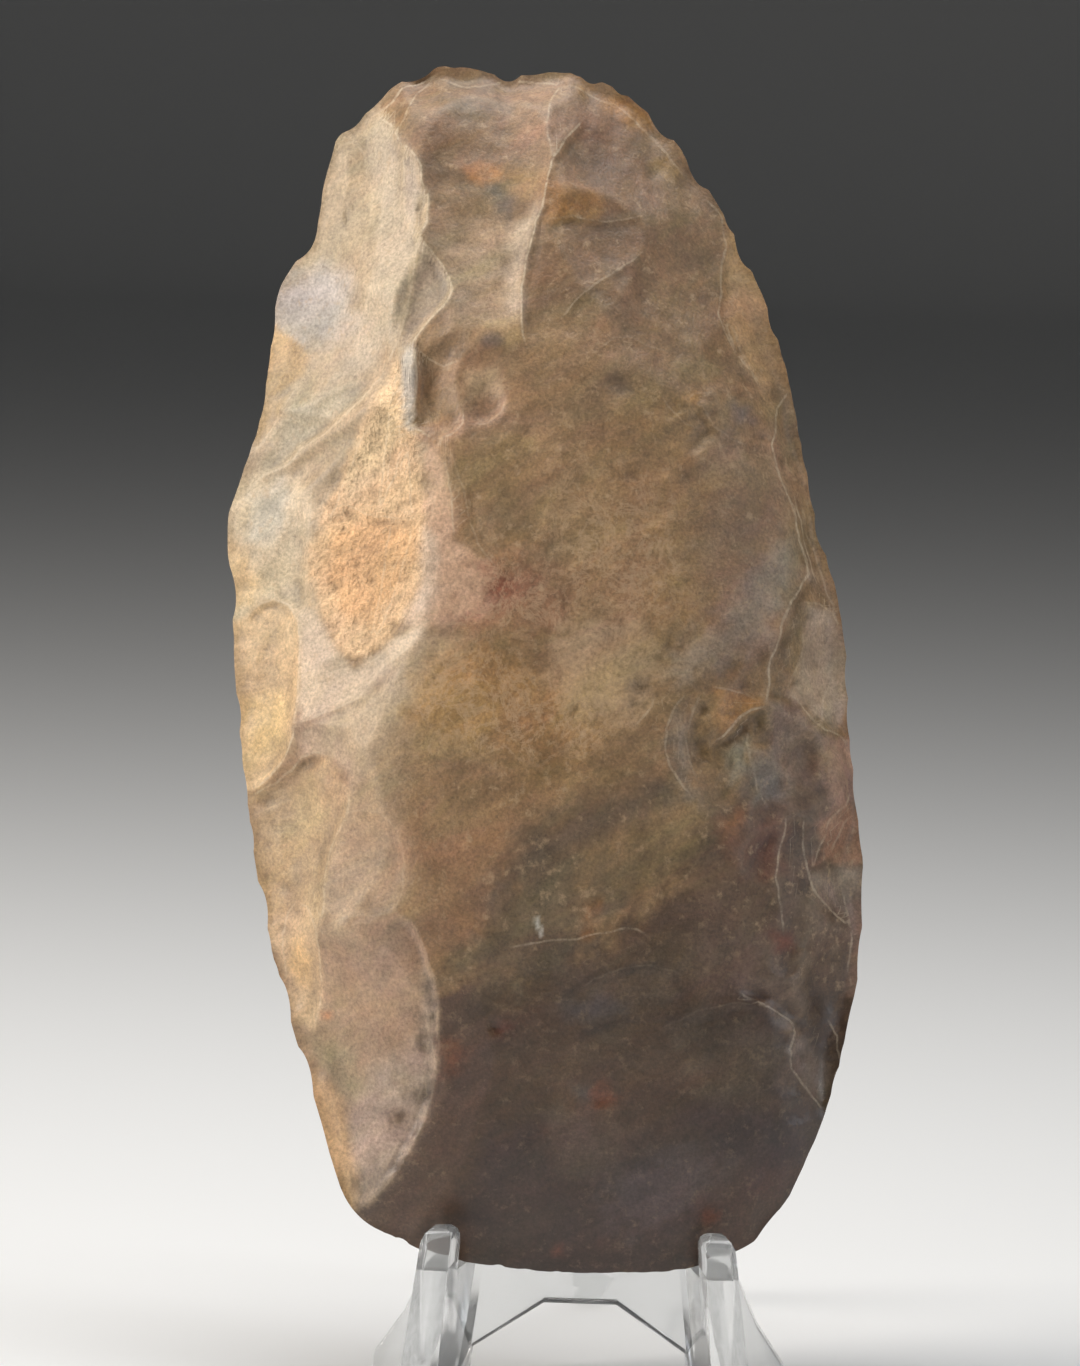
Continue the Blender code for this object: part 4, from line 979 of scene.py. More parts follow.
def disc_from_square(a, b):
    """Map a square to a disc with rings kept as rings; gives radius and angle."""
    flat = np.abs(a) >= np.abs(b)
    safe_a = np.where(flat & (a != 0), a, 1.0)
    safe_b = np.where(~flat, b, 1.0)
    angle_flat = (math.pi / 4) * (b / safe_a) + np.where(a < 0, math.pi, 0.0)
    angle_steep = math.pi / 2 - (math.pi / 4) * (a / safe_b) + np.where(b < 0, math.pi, 0.0)
    radius = np.where(flat, np.abs(a), np.abs(b))
    angle = np.where(flat, angle_flat, angle_steep)
    return radius, (angle + math.pi) % (2 * math.pi) - math.pi


def wander(across, up):
    """Bend the flakes' outlines a little, so that none is a true oval."""
    sideways, upward = (
        sum(strength * np.sin(turn_across * across + turn_up * up + start)
            for strength, turn_across, turn_up, start in waves)
        for waves in (WAVES_SIDEWAYS, WAVES_UPWARD))
    return across + WANDER * sideways, up + WANDER * upward


def bowl(flake, across, up):
    """One flake scar's depth at each place, and nothing outside its oval."""
    lean = math.radians(flake.lean)
    right = across - flake.across
    above = up - flake.up
    along = (right * math.sin(lean) + above * math.cos(lean)) / flake.half_height
    beside = (right * math.cos(lean) - above * math.sin(lean)) / flake.half_width
    hollow = np.clip(1.0 - along ** 2 - beside ** 2, 0.0, 1.0)
    return flake.depth * hollow * (1.0 + flake.heavy * beside)


def flake_depth(flakes, across, up):
    """The deepest of the flake scars at each place."""
    across, up = wander(across, up)
    deepest = np.zeros_like(across)
    for flake in flakes.values():
        deepest = np.maximum(deepest, bowl(flake, across, up))
    return deepest


def ripples(flakes, across, up):
    """Faint rings round the place at the rim where each large flake was struck."""
    across, up = wander(across, up)
    deepest = np.full_like(across, 1e-6)
    rings = np.zeros_like(across)
    for flake in flakes.values():
        depth = bowl(flake, across, up)
        away = np.hypot(across - flake.across * STRIKE_ACROSS, up - flake.up * STRIKE_UP)
        ring = (np.sin(away * 2.0 * math.pi / RIPPLE_SPACING + flake.lean)
                * np.clip(depth / RIPPLE_FULL_DEPTH, 0, 1))
        rings = np.where(depth > deepest, ring, rings)
        deepest = np.maximum(deepest, depth)
    return rings * RIPPLE_HEIGHT


def body_height(bulge, radius, up):
    """The face's height before any flake is struck off, thinner toward the bit."""
    body = bulge * np.clip(1.0 - radius ** BODY_POWER, 0.0, 1.0) ** BODY_FULLNESS
    return body * (1.0 - BIT_THINNING * smoothstep(BIT_START, -HALF_LENGTH, up))


def struck(body, cut, radius):
    """The body less its scars, which leave the rim a wedge."""
    left = body - cut
    wedge = WEDGE_SHARE * body
    soft = WEDGE_SOFTNESS * body * radius ** 2
    return (left + wedge + np.sqrt((left - wedge) ** 2 + soft ** 2)) / 2.0


def walk_beside(points, across, up):
    """Distance to a line of points, on the walker's right or left, and the room to its ends."""
    points = np.array(on_the_stone(points))
    steps = np.diff(points, axis=0)
    lengths = np.hypot(steps[:, 0], steps[:, 1])
    starts = np.concatenate([[0.0], np.cumsum(lengths)])
    nearest = np.full_like(across, np.inf)
    side = np.zeros_like(across)
    walked = np.zeros_like(across)
    for number, (step, length) in enumerate(zip(steps, lengths)):
        right = across - points[number, 0]
        above = up - points[number, 1]
        share = np.clip((right * step[0] + above * step[1]) / length ** 2, 0.0, 1.0)
        gap = np.hypot(right - share * step[0], above - share * step[1])
        closer = gap < nearest
        nearest = np.where(closer, gap, nearest)
        side = np.where(closer, np.sign(right * step[1] - above * step[0]), side)
        walked = np.where(closer, starts[number] + share * length, walked)
    room = np.minimum(walked, starts[-1] - walked)
    return nearest, side, room


def crest_relief(across, up, fray):
    """Height that the crests add and take, the distance to the nearest one, below zero on the
    walker's left, and how pale that one's line is, as wear and as a painted highlight."""
    height = np.zeros_like(across)
    nearest = np.full_like(across, NO_CREST)
    wear = np.zeros_like(across)
    for crest in CRESTS.values():
        gap, side, room = walk_beside(crest.points, across, up)
        beside = gap * side + CREST_FRAY * fray
        gap = np.abs(beside)
        ends = smoothstep(0.0, CREST_END, room + CREST_END_ROOM)
        falls = beside * math.copysign(1.0, crest.fall) > 0
        down = (smoothstep(0.0, CREST_EDGE, gap)
                * np.exp(-np.maximum(gap - CREST_EDGE, 0) / crest.reach))
        height += ends * (CREST_RISE_KEPT * crest.rise * np.exp(-(gap / CREST_HALF_WIDTH) ** 2)
                          - np.where(falls, abs(crest.fall) * down, 0.0))
        closer = (gap < np.abs(nearest)) & (ends > CREST_LEAST)
        nearest = np.where(closer, beside, nearest)
        wear = np.where(closer, crest.wear * ends, wear)
    return height, nearest, wear


def nick_depth(across, up):
    """The small scars that only the finished stone has."""
    depth = np.zeros_like(across)
    for nick in NICKS.values():
        (middle_across, middle_up), = on_the_stone([(nick.x, nick.y)])
        flake = Flake(middle_across, middle_up, nick.half_width / PIXELS_PER_HUNDREDTH,
                      nick.half_height / PIXELS_PER_HUNDREDTH, nick.lean, nick.depth, nick.heavy)
        depth = np.maximum(depth, bowl(flake, across, up))
    return depth


def inside_of(points, across, up):
    """Whether each place lies inside a closed line of points."""
    inside = np.zeros(np.shape(across), bool)
    for start, end in zip(points, np.roll(points, -1, axis=0)):
        if start[1] != end[1]:
            crosses = (start[1] > up) != (end[1] > up)
            inside ^= crosses & (across < start[0] + (end[0] - start[0]) * (up - start[1])
                                 / (end[1] - start[1]))
    return inside


def battered_flakes():
    """The small scars of the battered zones, the same on each run."""
    hand = random.Random(BATTERED_SEED)
    flakes = []
    for zone in BATTERED_ZONES.values():
        corners = np.array(on_the_stone(zone.points))
        low, high = corners.min(axis=0), corners.max(axis=0)
        struck_here = 0
        while struck_here < zone.count:
            across, up = hand.uniform(low[0], high[0]), hand.uniform(low[1], high[1])
            if not inside_of(corners, across, up):
                continue
            size = between(zone.size, hand.random() ** BATTERED_FEW_LARGE)
            flakes.append(Flake(
                across, up, size * hand.uniform(*BATTERED_WIDTH),
                size * hand.uniform(*BATTERED_LENGTH), hand.uniform(-90, 90),
                between(zone.depth, hand.random() * size / zone.size[1]),
                hand.uniform(*BATTERED_HEAVY)))
            struck_here += 1
    return flakes


def battering(across, up):
    """Depth of the small scars of the battered zones."""
    depth = np.zeros_like(across)
    for flake in battered_flakes():
        depth = np.maximum(depth, bowl(flake, across, up))
    return depth


def chip_depth(across, up, front):
    """The chips along the rim, each a small bowl that opens outward."""
    depth = np.zeros_like(across)
    for angle, size, sharp, deep, faces_front in rim_chips():
        if faces_front != front and size < BOTH_FACES_SIZE:
            continue
        reach = float(outline_reach(np.array([angle]))[0])
        at_across = HALF_WIDTH * reach * math.cos(angle)
        at_up = HALF_LENGTH * reach * math.sin(angle)
        lean = math.degrees(math.atan2(math.cos(angle) / HALF_WIDTH, math.sin(angle) / HALF_LENGTH))
        chip = Flake(at_across, at_up, between(RIM_CHIP_HALF_WIDTH, size),
                     between(RIM_CHIP_REACH, size * (0.5 + sharp / 2)), lean,
                     between(RIM_CHIP_DEPTH, size * (0.4 + 0.6 * deep)))
        depth = np.maximum(depth, bowl(chip, across, up))
    return depth


def cover_of(stain, across, up, fray):
    """How far inside a stain each place is, from 0 to 1 over its soft edge."""
    points = np.array(on_the_stone(stain.points))
    nearest = np.full_like(across, np.inf)
    for start, end in zip(points, np.roll(points, -1, axis=0)):
        step = end - start
        right = across - start[0]
        above = up - start[1]
        share = np.clip((right * step[0] + above * step[1]) / step.dot(step), 0.0, 1.0)
        nearest = np.minimum(nearest, np.hypot(right - share * step[0], above - share * step[1]))
    inside = inside_of(points, across, up)
    depth = np.where(inside, nearest, -nearest) + stain.ragged * fray
    return stain.cover * smoothstep(-stain.soft, stain.soft, depth)


def lumps(places, size, octaves, seed):
    """Fractal noise from about -1 to 1 at each place, its lumps of one size in hundredths."""
    shift = Vector((seed * 17.3, seed * -9.1, seed * 5.7))
    return np.array([noise.fractal(Vector(place) / size + shift, 0.8, 2.1, octaves)
                     for place in places.reshape(-1, 3)]).reshape(places.shape[:-1])


def blurred(field, steps):
    """The field with each place mixed with its neighbours, some steps over."""
    for _ in range(steps):
        padded = np.pad(field, 1, mode="edge")
        field = (padded[:-2, 1:-1] + padded[2:, 1:-1] + padded[1:-1, :-2] + padded[1:-1, 2:]
                 + 4.0 * field) / 8.0
    return field


def painted(stains, across, up, fray):
    """The stains laid one over another on the warm brown of the stone."""
    tint = np.empty(across.shape + (3,))
    tint[:] = linear(WARM_BROWN)
    for stain in stains.values():
        cover = cover_of(stain, across, up, fray)[..., None]
        tint = tint * (1.0 - cover) + np.array(linear(stain.colour)) * cover
    return tint


def cover_by_name(stains, names, across, up, fray):
    """The cover of several stains of one face taken as one."""
    cover = np.zeros_like(across)
    for name in names:
        if name in stains:
            cover = np.maximum(cover, cover_of(stains[name], across, up, fray))
    return cover


def knap_faces():
    """The two finished faces: places of their corners, and what the stone's material reads."""
    a, b = np.meshgrid(np.linspace(-1.0, 1.0, HEAD_COLUMNS + 1),
                       np.linspace(-1.0, 1.0, HEAD_ROWS + 1))
    radius, angle = disc_from_square(a, b)
    whole_reach = outline_reach(angle.ravel()).reshape(angle.shape)
    reach = (whole_reach - rim_bite(angle) * radius ** BITE_POWER) * radius
    across = HALF_WIDTH * reach * np.cos(angle)
    up = HALF_LENGTH * reach * np.sin(angle)
    inner = 1.0 - radius ** RELIEF_POWER
    made = []
    for front in (True, False):
        flanks, scars = (FRONT_FLANKS, FRONT_SCARS) if front else (BACK_FLANKS, BACK_SCARS)
        stains = FRONT_STAINS if front else BACK_STAINS
        bulge = (HEAD_FRONT_BULGE if front else HEAD_BACK_BULGE) / HUNDREDTH
        body = body_height(bulge, radius, up)
        shown_across, shown_up = as_seen(across, up, body) if front else (across, up)
        places = np.stack([across, body if front else -body, up], axis=-1)
        broad = lumps(places, BROAD_LUMP, 4, 1)
        fray = lumps(places, RAGGED_LUMP, 4, 2)
        fine = lumps(places, FINE_LUMP, 3, 3)
        cut = (flake_depth(flanks, shown_across, shown_up)
               + flake_depth(scars, shown_across, shown_up))
        height = struck(body, cut, radius)
        cortex = cover_by_name(stains, ["cortex"], shown_across, shown_up, fray)
        polish = cover_by_name(stains, ["bit"] + (["great scar"] if front else []),
                               shown_across, shown_up, fray)
        detail = ripples({**flanks, **scars}, shown_across, shown_up) * (1.0 - cortex)
        gap = np.full_like(across, NO_CREST)
        wear = np.zeros_like(across)
        if front:
            crests, gap, wear = crest_relief(shown_across, shown_up, fray)
            small = nick_depth(shown_across, shown_up)
            detail += crests - small - battering(shown_across, shown_up)
        detail -= chip_depth(across, up, front)
        detail += (BROAD_RELIEF * broad * (1.0 - BROAD_POLISHED * polish)
                   + RAGGED_RELIEF * fray * (1.0 - FINE_POLISHED * polish))
        detail += fine * (FINE_RELIEF + RIND_RELIEF * cortex) * (1.0 - FINE_POLISHED * polish)
        detail = np.where(
            detail < 0.0, height * np.expm1(detail / np.maximum(height, LEAST_HEIGHT)), detail)
        tint = painted(stains, shown_across, shown_up, fray)
        pitted = cover_by_name(stains, PITTED_STAINS, shown_across, shown_up, fray)
        made.append((height, detail * inner, tint, gap, wear, cortex, polish, pitted))
    middle = (made[1][0] - made[0][0]) / 2.0
    blend = radius ** RIM_BLEND
    off_kinks = smoothstep(
        KINK_NEAR, KINK_FAR, np.abs(np.abs(a) - np.abs(b)) * HEAD_COLUMNS / 2.0)
    faces = []
    for sign, (height, detail, tint, gap, wear, cortex, polish, pitted) in zip((-1, 1), made):
        depth = sign * height * (1.0 - blend) + middle * blend + sign * detail
        stands = blurred(sign * depth - blurred(sign * depth, BLUR_STEPS), 1) * off_kinks
        kept = 1.0 - radius ** MARK_POWER
        # Ridges, which the material pales as wear and as a painted highlight, and hollows, which it
        # darkens as painted shade
        ridge = (np.clip(stands / RIDGE_HEIGHT - RIDGE_START, 0.0, 1.0) * kept
                 * (1.0 - BROAD_POLISHED * polish))
        hollow = np.clip(-stands / HOLLOW_DEPTH - HOLLOW_START, 0.0, 1.0) * kept
        if sign > 0:
            edge = (radius ** TINT_POWER)[..., None]
            tint = tint * (1.0 - edge) + made[0][2] * edge
        places = np.stack([across, depth, up], axis=-1) * HUNDREDTH
        reads = (gap, wear, ridge, cortex, polish, hollow, pitted)
        faces.append(Face(places, tint, dict(zip(READS, reads))))
    return faces


def deselect_all():
    if bpy.context.object and bpy.context.object.mode != "OBJECT":
        bpy.ops.object.mode_set(mode="OBJECT")
    bpy.ops.object.select_all(action="DESELECT")


def hold_only(piece):
    """Leave one piece selected and active, as a click on it does."""
    deselect_all()
    piece.select_set(True)
    bpy.context.view_layer.objects.active = piece


def apply_all(piece):
    hold_only(piece)
    for change in [change.name for change in piece.modifiers]:
        bpy.ops.object.modifier_apply(modifier=change)


def place_node(tree, kind, inputs=None, **settings):
    """Add one node: its settings, and a value or another node's output for each named socket."""
    node = tree.nodes.new(kind)
    for name, value in settings.items():
        setattr(node, name, value)
    for socket, value in (inputs or {}).items():
        if isinstance(value, bpy.types.NodeSocket):
            tree.links.new(value, node.inputs[socket])
        else:
            node.inputs[socket].default_value = value
    return node


def empty_material(name):
    made = bpy.data.materials.new(name)
    made.use_nodes = True
    made.node_tree.nodes.clear()
    return made, made.node_tree


def per_metre(millimetres):
    """A pattern's scale from the real size of what it repeats."""
    return 1.0 / (millimetres * MILLIMETRE)


def flint_material(settings):
    """Flaked and partly ground flint-like stone: waxy and close-grained, mottled and stained in
    warm browns, dull and granular where rind is left, and satin where it was ground. Its hollows
    are darkened as painted shade, and its crests are paled, partly as wear and partly as a painted
    highlight."""
    made, tree = empty_material("flaked and ground flint")
    spot = place_node(tree, "ShaderNodeTexCoord").outputs["Object"]
    reads = {name: place_node(tree, "ShaderNodeAttribute", attribute_name=name).outputs
             for name in ("tint",) + READS}
    grain = place_node(tree, "ShaderNodeTexNoise", {
        "Vector": spot, "Scale": per_metre(settings.grain_mm), "Detail": 4.0, "Roughness": 0.65})
    clouds = place_node(tree, "ShaderNodeTexNoise", {
        "Vector": spot, "Scale": per_metre(settings.cloud_mm), "Detail": 7.0, "Roughness": 0.66,
        "Distortion": 0.6})
    flecks = place_node(tree, "ShaderNodeTexNoise", {
        "Vector": spot, "Scale": per_metre(settings.fleck_mm), "Detail": 5.0, "Roughness": 0.7})
    grain_share = place_node(tree, "ShaderNodeMapRange", {
        "Value": grain.outputs["Fac"], "From Min": 0.3, "From Max": 0.7,
        "To Min": 0.70, "To Max": 1.30})
    cloud_share = place_node(tree, "ShaderNodeMapRange", {
        "Value": clouds.outputs["Fac"], "From Min": 0.35, "From Max": 0.65,
        "To Min": 0.82, "To Max": 1.18})
    shade = place_node(tree, "ShaderNodeMath", {
        0: grain_share.outputs[0], 1: cloud_share.outputs[0]}, operation="MULTIPLY")
    # The relief's hollows are darkened: painted shade
    painted_hollow_shade = place_node(tree, "ShaderNodeMapRange", {
        "Value": reads["hollow"]["Fac"], "To Min": 1.0, "To Max": 0.72})
    shade = place_node(tree, "ShaderNodeMath", {
        0: shade.outputs[0], 1: painted_hollow_shade.outputs[0]}, operation="MULTIPLY")
    bedding = place_node(tree, "ShaderNodeMapping", {
        "Vector": spot, "Rotation": (0.0, BEDDING_TURN, 0.0), "Scale": BEDDING_STRETCH},
        vector_type="TEXTURE")
    streaks = place_node(tree, "ShaderNodeTexNoise", {
        "Vector": bedding.outputs[0], "Scale": per_metre(settings.streak_mm), "Detail": 6.0,
        "Roughness": 0.62, "Distortion": 0.8})
    darkness = place_node(tree, "ShaderNodeMapRange", {
        "Value": reads["tint"]["Fac"], "From Min": 0.42, "From Max": 0.14,
        "To Min": 0.30, "To Max": 1.0})
    off_streak = place_node(tree, "ShaderNodeMath", {
        0: streaks.outputs["Fac"], 1: 0.5}, operation="SUBTRACT")
    streak_depth = place_node(tree, "ShaderNodeMath", {
        0: off_streak.outputs[0], 1: darkness.outputs[0]}, operation="MULTIPLY")
    streak_share = place_node(tree, "ShaderNodeMath", {
        0: streak_depth.outputs[0], 1: STREAK_STRENGTH, 2: 1.0}, operation="MULTIPLY_ADD")
    shade = place_node(tree, "ShaderNodeMath", {
        0: shade.outputs[0], 1: streak_share.outputs[0]}, operation="MULTIPLY")
    drift = place_node(tree, "ShaderNodeTexNoise", {
        "Vector": bedding.outputs[0], "Scale": per_metre(settings.drift_mm), "Detail": 9.0,
        "Roughness": 0.72, "Distortion": 0.4})
    off_drift = place_node(tree, "ShaderNodeVectorMath", {
        0: drift.outputs["Color"], 1: (0.5, 0.5, 0.5)}, operation="SUBTRACT")
    drift_depth = place_node(tree, "ShaderNodeVectorMath", {
        0: off_drift.outputs[0], "Scale": darkness.outputs[0]}, operation="SCALE")
    hue = place_node(tree, "ShaderNodeVectorMath", {
        0: drift_depth.outputs[0], 1: HUE_DRIFT, 2: (1.0, 1.0, 1.0)}, operation="MULTIPLY_ADD")
    tinted = place_node(tree, "ShaderNodeVectorMath", {
        0: reads["tint"]["Color"], 1: hue.outputs[0]}, operation="MULTIPLY")
    shaded = place_node(tree, "ShaderNodeVectorMath", {
        0: tinted.outputs[0], "Scale": shade.outputs[0]}, operation="SCALE")
    few_flecks = place_node(tree, "ShaderNodeMapRange", {
        "Value": reads["polish"]["Fac"], "To Min": 0.55, "To Max": 0.16})
    fleck_share = place_node(tree, "ShaderNodeMapRange", {
        "Value": flecks.outputs["Fac"], "From Min": 0.56, "From Max": 0.70,
        "To Min": 0.0, "To Max": few_flecks.outputs[0]})
    flecked = place_node(tree, "ShaderNodeMix", {
        "Factor": fleck_share.outputs[0], "A": shaded.outputs[0],
        "B": (*settings.fleck_colour, 1.0)}, data_type="RGBA")
    veins = place_node(tree, "ShaderNodeTexNoise", {
        "Vector": spot, "Scale": per_metre(settings.vein_mm), "Detail": 9.0, "Roughness": 0.72,
        "Distortion": 0.5})
    off_vein = place_node(tree, "ShaderNodeMath", {
        0: veins.outputs["Fac"], 1: 0.5}, operation="SUBTRACT")
    off_vein = place_node(tree, "ShaderNodeMath", {0: off_vein.outputs[0]}, operation="ABSOLUTE")
    vein_line = place_node(tree, "ShaderNodeMapRange", {
        "Value": off_vein.outputs[0], "From Min": 0.0, "From Max": VEIN_HALF_WIDTH,
        "To Min": VEIN_STRENGTH, "To Max": 0.0})
    vein_share = place_node(tree, "ShaderNodeMath", {
        0: vein_line.outputs[0], 1: reads["pitted"]["Fac"]}, operation="MULTIPLY")
    flecked = place_node(tree, "ShaderNodeMix", {
        "Factor": vein_share.outputs[0], "A": flecked.outputs["Result"],
        "B": (*settings.vein_colour, 1.0)}, data_type="RGBA")
    dark_share = place_node(tree, "ShaderNodeMapRange", {
        "Value": flecks.outputs["Fac"], "From Min": 0.40, "From Max": 0.24,
        "To Min": 0.0, "To Max": 0.55})
    specked = place_node(tree, "ShaderNodeMix", {
        "Factor": dark_share.outputs[0], "A": flecked.outputs["Result"],
        "B": (*settings.speck_colour, 1.0)}, data_type="RGBA")
    # The crests' lines and the ridges are paled toward the worn colour: partly wear, partly a
    # painted highlight
    apart = place_node(tree, "ShaderNodeMath", {
        0: reads["crest_gap"]["Fac"]}, operation="ABSOLUTE")
    line = place_node(tree, "ShaderNodeMapRange", {
        "Value": apart.outputs[0], "From Min": 0.04, "From Max": settings.worn_and_highlit_width,
        "To Min": 1.0, "To Max": 0.0}, interpolation_type="SMOOTHSTEP")
    broken = place_node(tree, "ShaderNodeMapRange", {
        "Value": flecks.outputs["Fac"], "From Min": 0.36, "From Max": 0.56,
        "To Min": 0.15, "To Max": 1.0})
    line_share = place_node(tree, "ShaderNodeMath", {
        0: line.outputs[0], 1: broken.outputs[0]}, operation="MULTIPLY")
    line_worn_and_highlit = place_node(tree, "ShaderNodeMath", {
        0: line_share.outputs[0], 1: reads["wear"]["Fac"]}, operation="MULTIPLY")
    ridge_worn_and_highlit = place_node(tree, "ShaderNodeMath", {
        0: reads["ridge"]["Fac"], 1: RIDGE_WEAR_AND_HIGHLIGHT, 2: line_worn_and_highlit.outputs[0]},
        operation="MULTIPLY_ADD")
    worn_and_highlit_share = place_node(tree, "ShaderNodeMath", {
        0: ridge_worn_and_highlit.outputs[0], 1: grain_share.outputs[0]}, operation="MULTIPLY", use_clamp=True)
    paler = place_node(tree, "ShaderNodeMix", {
        "Factor": settings.worn_and_highlit_paleness, "A": specked.outputs["Result"],
        "B": (*settings.worn_and_highlit_colour, 1.0)}, data_type="RGBA")
    worn_and_highlit = place_node(tree, "ShaderNodeMix", {
        "Factor": worn_and_highlit_share.outputs[0], "A": specked.outputs["Result"],
        "B": paler.outputs["Result"]}, data_type="RGBA")
    duller = place_node(tree, "ShaderNodeMath", {
        0: reads["cortex"]["Fac"], 1: RIND_ROUGHNESS, 2: settings.roughness},
        operation="MULTIPLY_ADD")
    shinier = place_node(tree, "ShaderNodeMath", {
        0: reads["polish"]["Fac"], 1: POLISH_ROUGHNESS, 2: duller.outputs[0]},
        operation="MULTIPLY_ADD")
    uneven = place_node(tree, "ShaderNodeMath", {
        0: clouds.outputs["Fac"], 1: CLOUD_ROUGHNESS, 2: shinier.outputs[0]},
        operation="MULTIPLY_ADD", use_clamp=True)
    granules = place_node(tree, "ShaderNodeTexNoise", {
        "Vector": spot, "Scale": per_metre(settings.rind_mm), "Detail": 3.0, "Roughness": 0.55})
    raised = place_node(tree, "ShaderNodeMath", {
        0: granules.outputs["Fac"], 1: reads["cortex"]["Fac"]}, operation="MULTIPLY")
    smoother = place_node(tree, "ShaderNodeMapRange", {
        "Value": reads["polish"]["Fac"], "To Min": 0.34, "To Max": 0.14})
    fine = place_node(tree, "ShaderNodeMath", {
        0: grain.outputs["Fac"], 1: smoother.outputs[0]}, operation="MULTIPLY")
    relief = place_node(tree, "ShaderNodeMath", {
        0: raised.outputs[0], 1: RIND_BUMP, 2: fine.outputs[0]}, operation="MULTIPLY_ADD")
    pocked = place_node(tree, "ShaderNodeMath", {
        0: flecks.outputs["Fac"], 1: FLECK_BUMP, 2: relief.outputs[0]}, operation="MULTIPLY_ADD")
    bump = place_node(tree, "ShaderNodeBump", {
        "Height": pocked.outputs[0], "Strength": 1.0, "Distance": settings.relief_mm * MILLIMETRE})
    surface = place_node(tree, "ShaderNodeBsdfPrincipled", {
        "Base Color": worn_and_highlit.outputs["Result"], "Roughness": uneven.outputs[0],
        "Normal": bump.outputs[0], "IOR": 1.54})
    place_node(tree, "ShaderNodeOutputMaterial", {"Surface": surface.outputs[0]})
    return made


def acrylic_material(settings):
    """Clear moulded polystyrene: glassy, with bright edges, a breath of grey where it is thick,
    and the faint waviness and fine rubs of a cheap moulding."""
    made, tree = empty_material("clear moulded polystyrene")
    spot = place_node(tree, "ShaderNodeTexCoord").outputs["Object"]
    waves = place_node(tree, "ShaderNodeTexNoise", {
        "Vector": spot, "Scale": per_metre(WAVE_MM), "Detail": 2.0})
    rubs = place_node(tree, "ShaderNodeTexNoise", {
        "Vector": spot, "Scale": per_metre(RUB_MM), "Detail": 4.0, "Roughness": 0.6})
    haze = place_node(tree, "ShaderNodeMapRange", {
        "Value": rubs.outputs["Fac"], "From Min": 0.35, "From Max": 0.75,
        "To Min": settings.roughness, "To Max": settings.roughness + RUB_HAZE})
    bump = place_node(tree, "ShaderNodeBump", {
        "Height": waves.outputs["Fac"], "Strength": 1.0, "Distance": WAVE_DEPTH_MM * MILLIMETRE})
    surface = place_node(tree, "ShaderNodeBsdfPrincipled", {
        "Base Color": (*settings.tint, 1.0), "Roughness": haze.outputs[0],
        "Normal": bump.outputs[0], "IOR": 1.49, "Transmission Weight": 0.86})
    place_node(tree, "ShaderNodeOutputMaterial", {"Surface": surface.outputs[0]})
    return made


def board_material(settings):
    """Matt painted board: plain and pale, with hardly any tooth."""
    made, tree = empty_material("matt painted board")
    spot = place_node(tree, "ShaderNodeTexCoord").outputs["Object"]
    tooth = place_node(tree, "ShaderNodeTexNoise", {
        "Vector": spot, "Scale": per_metre(TOOTH_MM), "Detail": 3.0})
    bump = place_node(tree, "ShaderNodeBump", {
        "Height": tooth.outputs["Fac"], "Strength": 0.2, "Distance": TOOTH_DEPTH_MM * MILLIMETRE})
    surface = place_node(tree, "ShaderNodeBsdfPrincipled", {
        "Base Color": (*settings.floor_colour, 1.0), "Roughness": 0.7, "Normal": bump.outputs[0]})
    place_node(tree, "ShaderNodeOutputMaterial", {"Surface": surface.outputs[0]})
    return made


def millimetres(name, what, default, low, high):
    """A pattern's size as plain millimetres, however the scene's units are set."""
    return bpy.props.FloatProperty(
        name=name, description=what + ", in millimetres", default=default, min=low, max=high)


def factor(name, what, default):
    return bpy.props.FloatProperty(
        name=name, description=what, default=default, min=0.0, max=1.0, subtype="FACTOR")


def colour(name, what, default):
    return bpy.props.FloatVectorProperty(
        name=name, description=what, default=linear(default), min=0.0, max=1.0, subtype="COLOR")


def strength(name, what, default, high=200.0):
    return bpy.props.FloatProperty(name=name, description=what, default=default, min=0.0, max=high)


class StoneSettings(bpy.types.PropertyGroup):
    grain_mm: millimetres("Grain", "Size of the stone's fine grain", 0.40, 0.1, 3.0)
    cloud_mm: millimetres("Clouds", "Size of the cloudy mottling", 5.5, 1.0, 30.0)
    streak_mm: millimetres("Streaks", "Width of the slanting streaks in the stone", 3.2, 0.5, 20.0)
    drift_mm: millimetres("Drift", "Size of the patches where the hue drifts", 7.0, 0.5, 40.0)
    vein_mm: millimetres("Veins", "Spacing of the pale veins on the belly", 4.2, 1.0, 30.0)
    fleck_mm: millimetres("Flecks", "Spacing of the pale flecks and dark specks", 1.5, 0.3, 10.0)
    rind_mm: millimetres("Rind granules", "Size of the granules of the rind", 0.8, 0.2, 5.0)
    relief_mm: millimetres("Fine relief", "Depth of the surface's fine relief", 0.20, 0.0, 1.0)
    # The crests' pale lines: worn stone and a painted highlight together
    worn_and_highlit_width: bpy.props.FloatProperty(
        name="Worn and highlit lines",
        description="Half the width of the crests' worn lines, in hundredths of the length",
        default=0.13, min=0.05, max=2.0)
    worn_and_highlit_paleness: factor("Worn and highlit paleness", "How far the worn lines reach their own colour", 0.50)
    roughness: factor("Roughness", "How dull the flaked stone is", 0.44)
    fleck_colour: colour("Flecks' colour", "Colour of the pale flecks", "#B89C7A")
    vein_colour: colour("Veins' colour", "Colour of the pale veins on the belly", "#C4A684")
    speck_colour: colour("Specks' colour", "Colour of the dark specks", "#5A4634")
    worn_and_highlit_colour: colour("Worn and highlit crests' colour", "Colour of the worn crests", WORN_AND_HIGHLIT_EDGE)


class EaselSettings(bpy.types.PropertyGroup):
    edge_round: bpy.props.FloatProperty(
        name="Edge rounding", description="Radius of the moulding's edges",
        default=0.00035, min=0.0, max=0.001, subtype="DISTANCE", unit="LENGTH", precision=5)
    roughness: factor("Haze", "How hazy the clear plastic's surface is", 0.04)
    tint: colour("Tint", "Colour of light that has passed the plastic", "#FAFBFB")


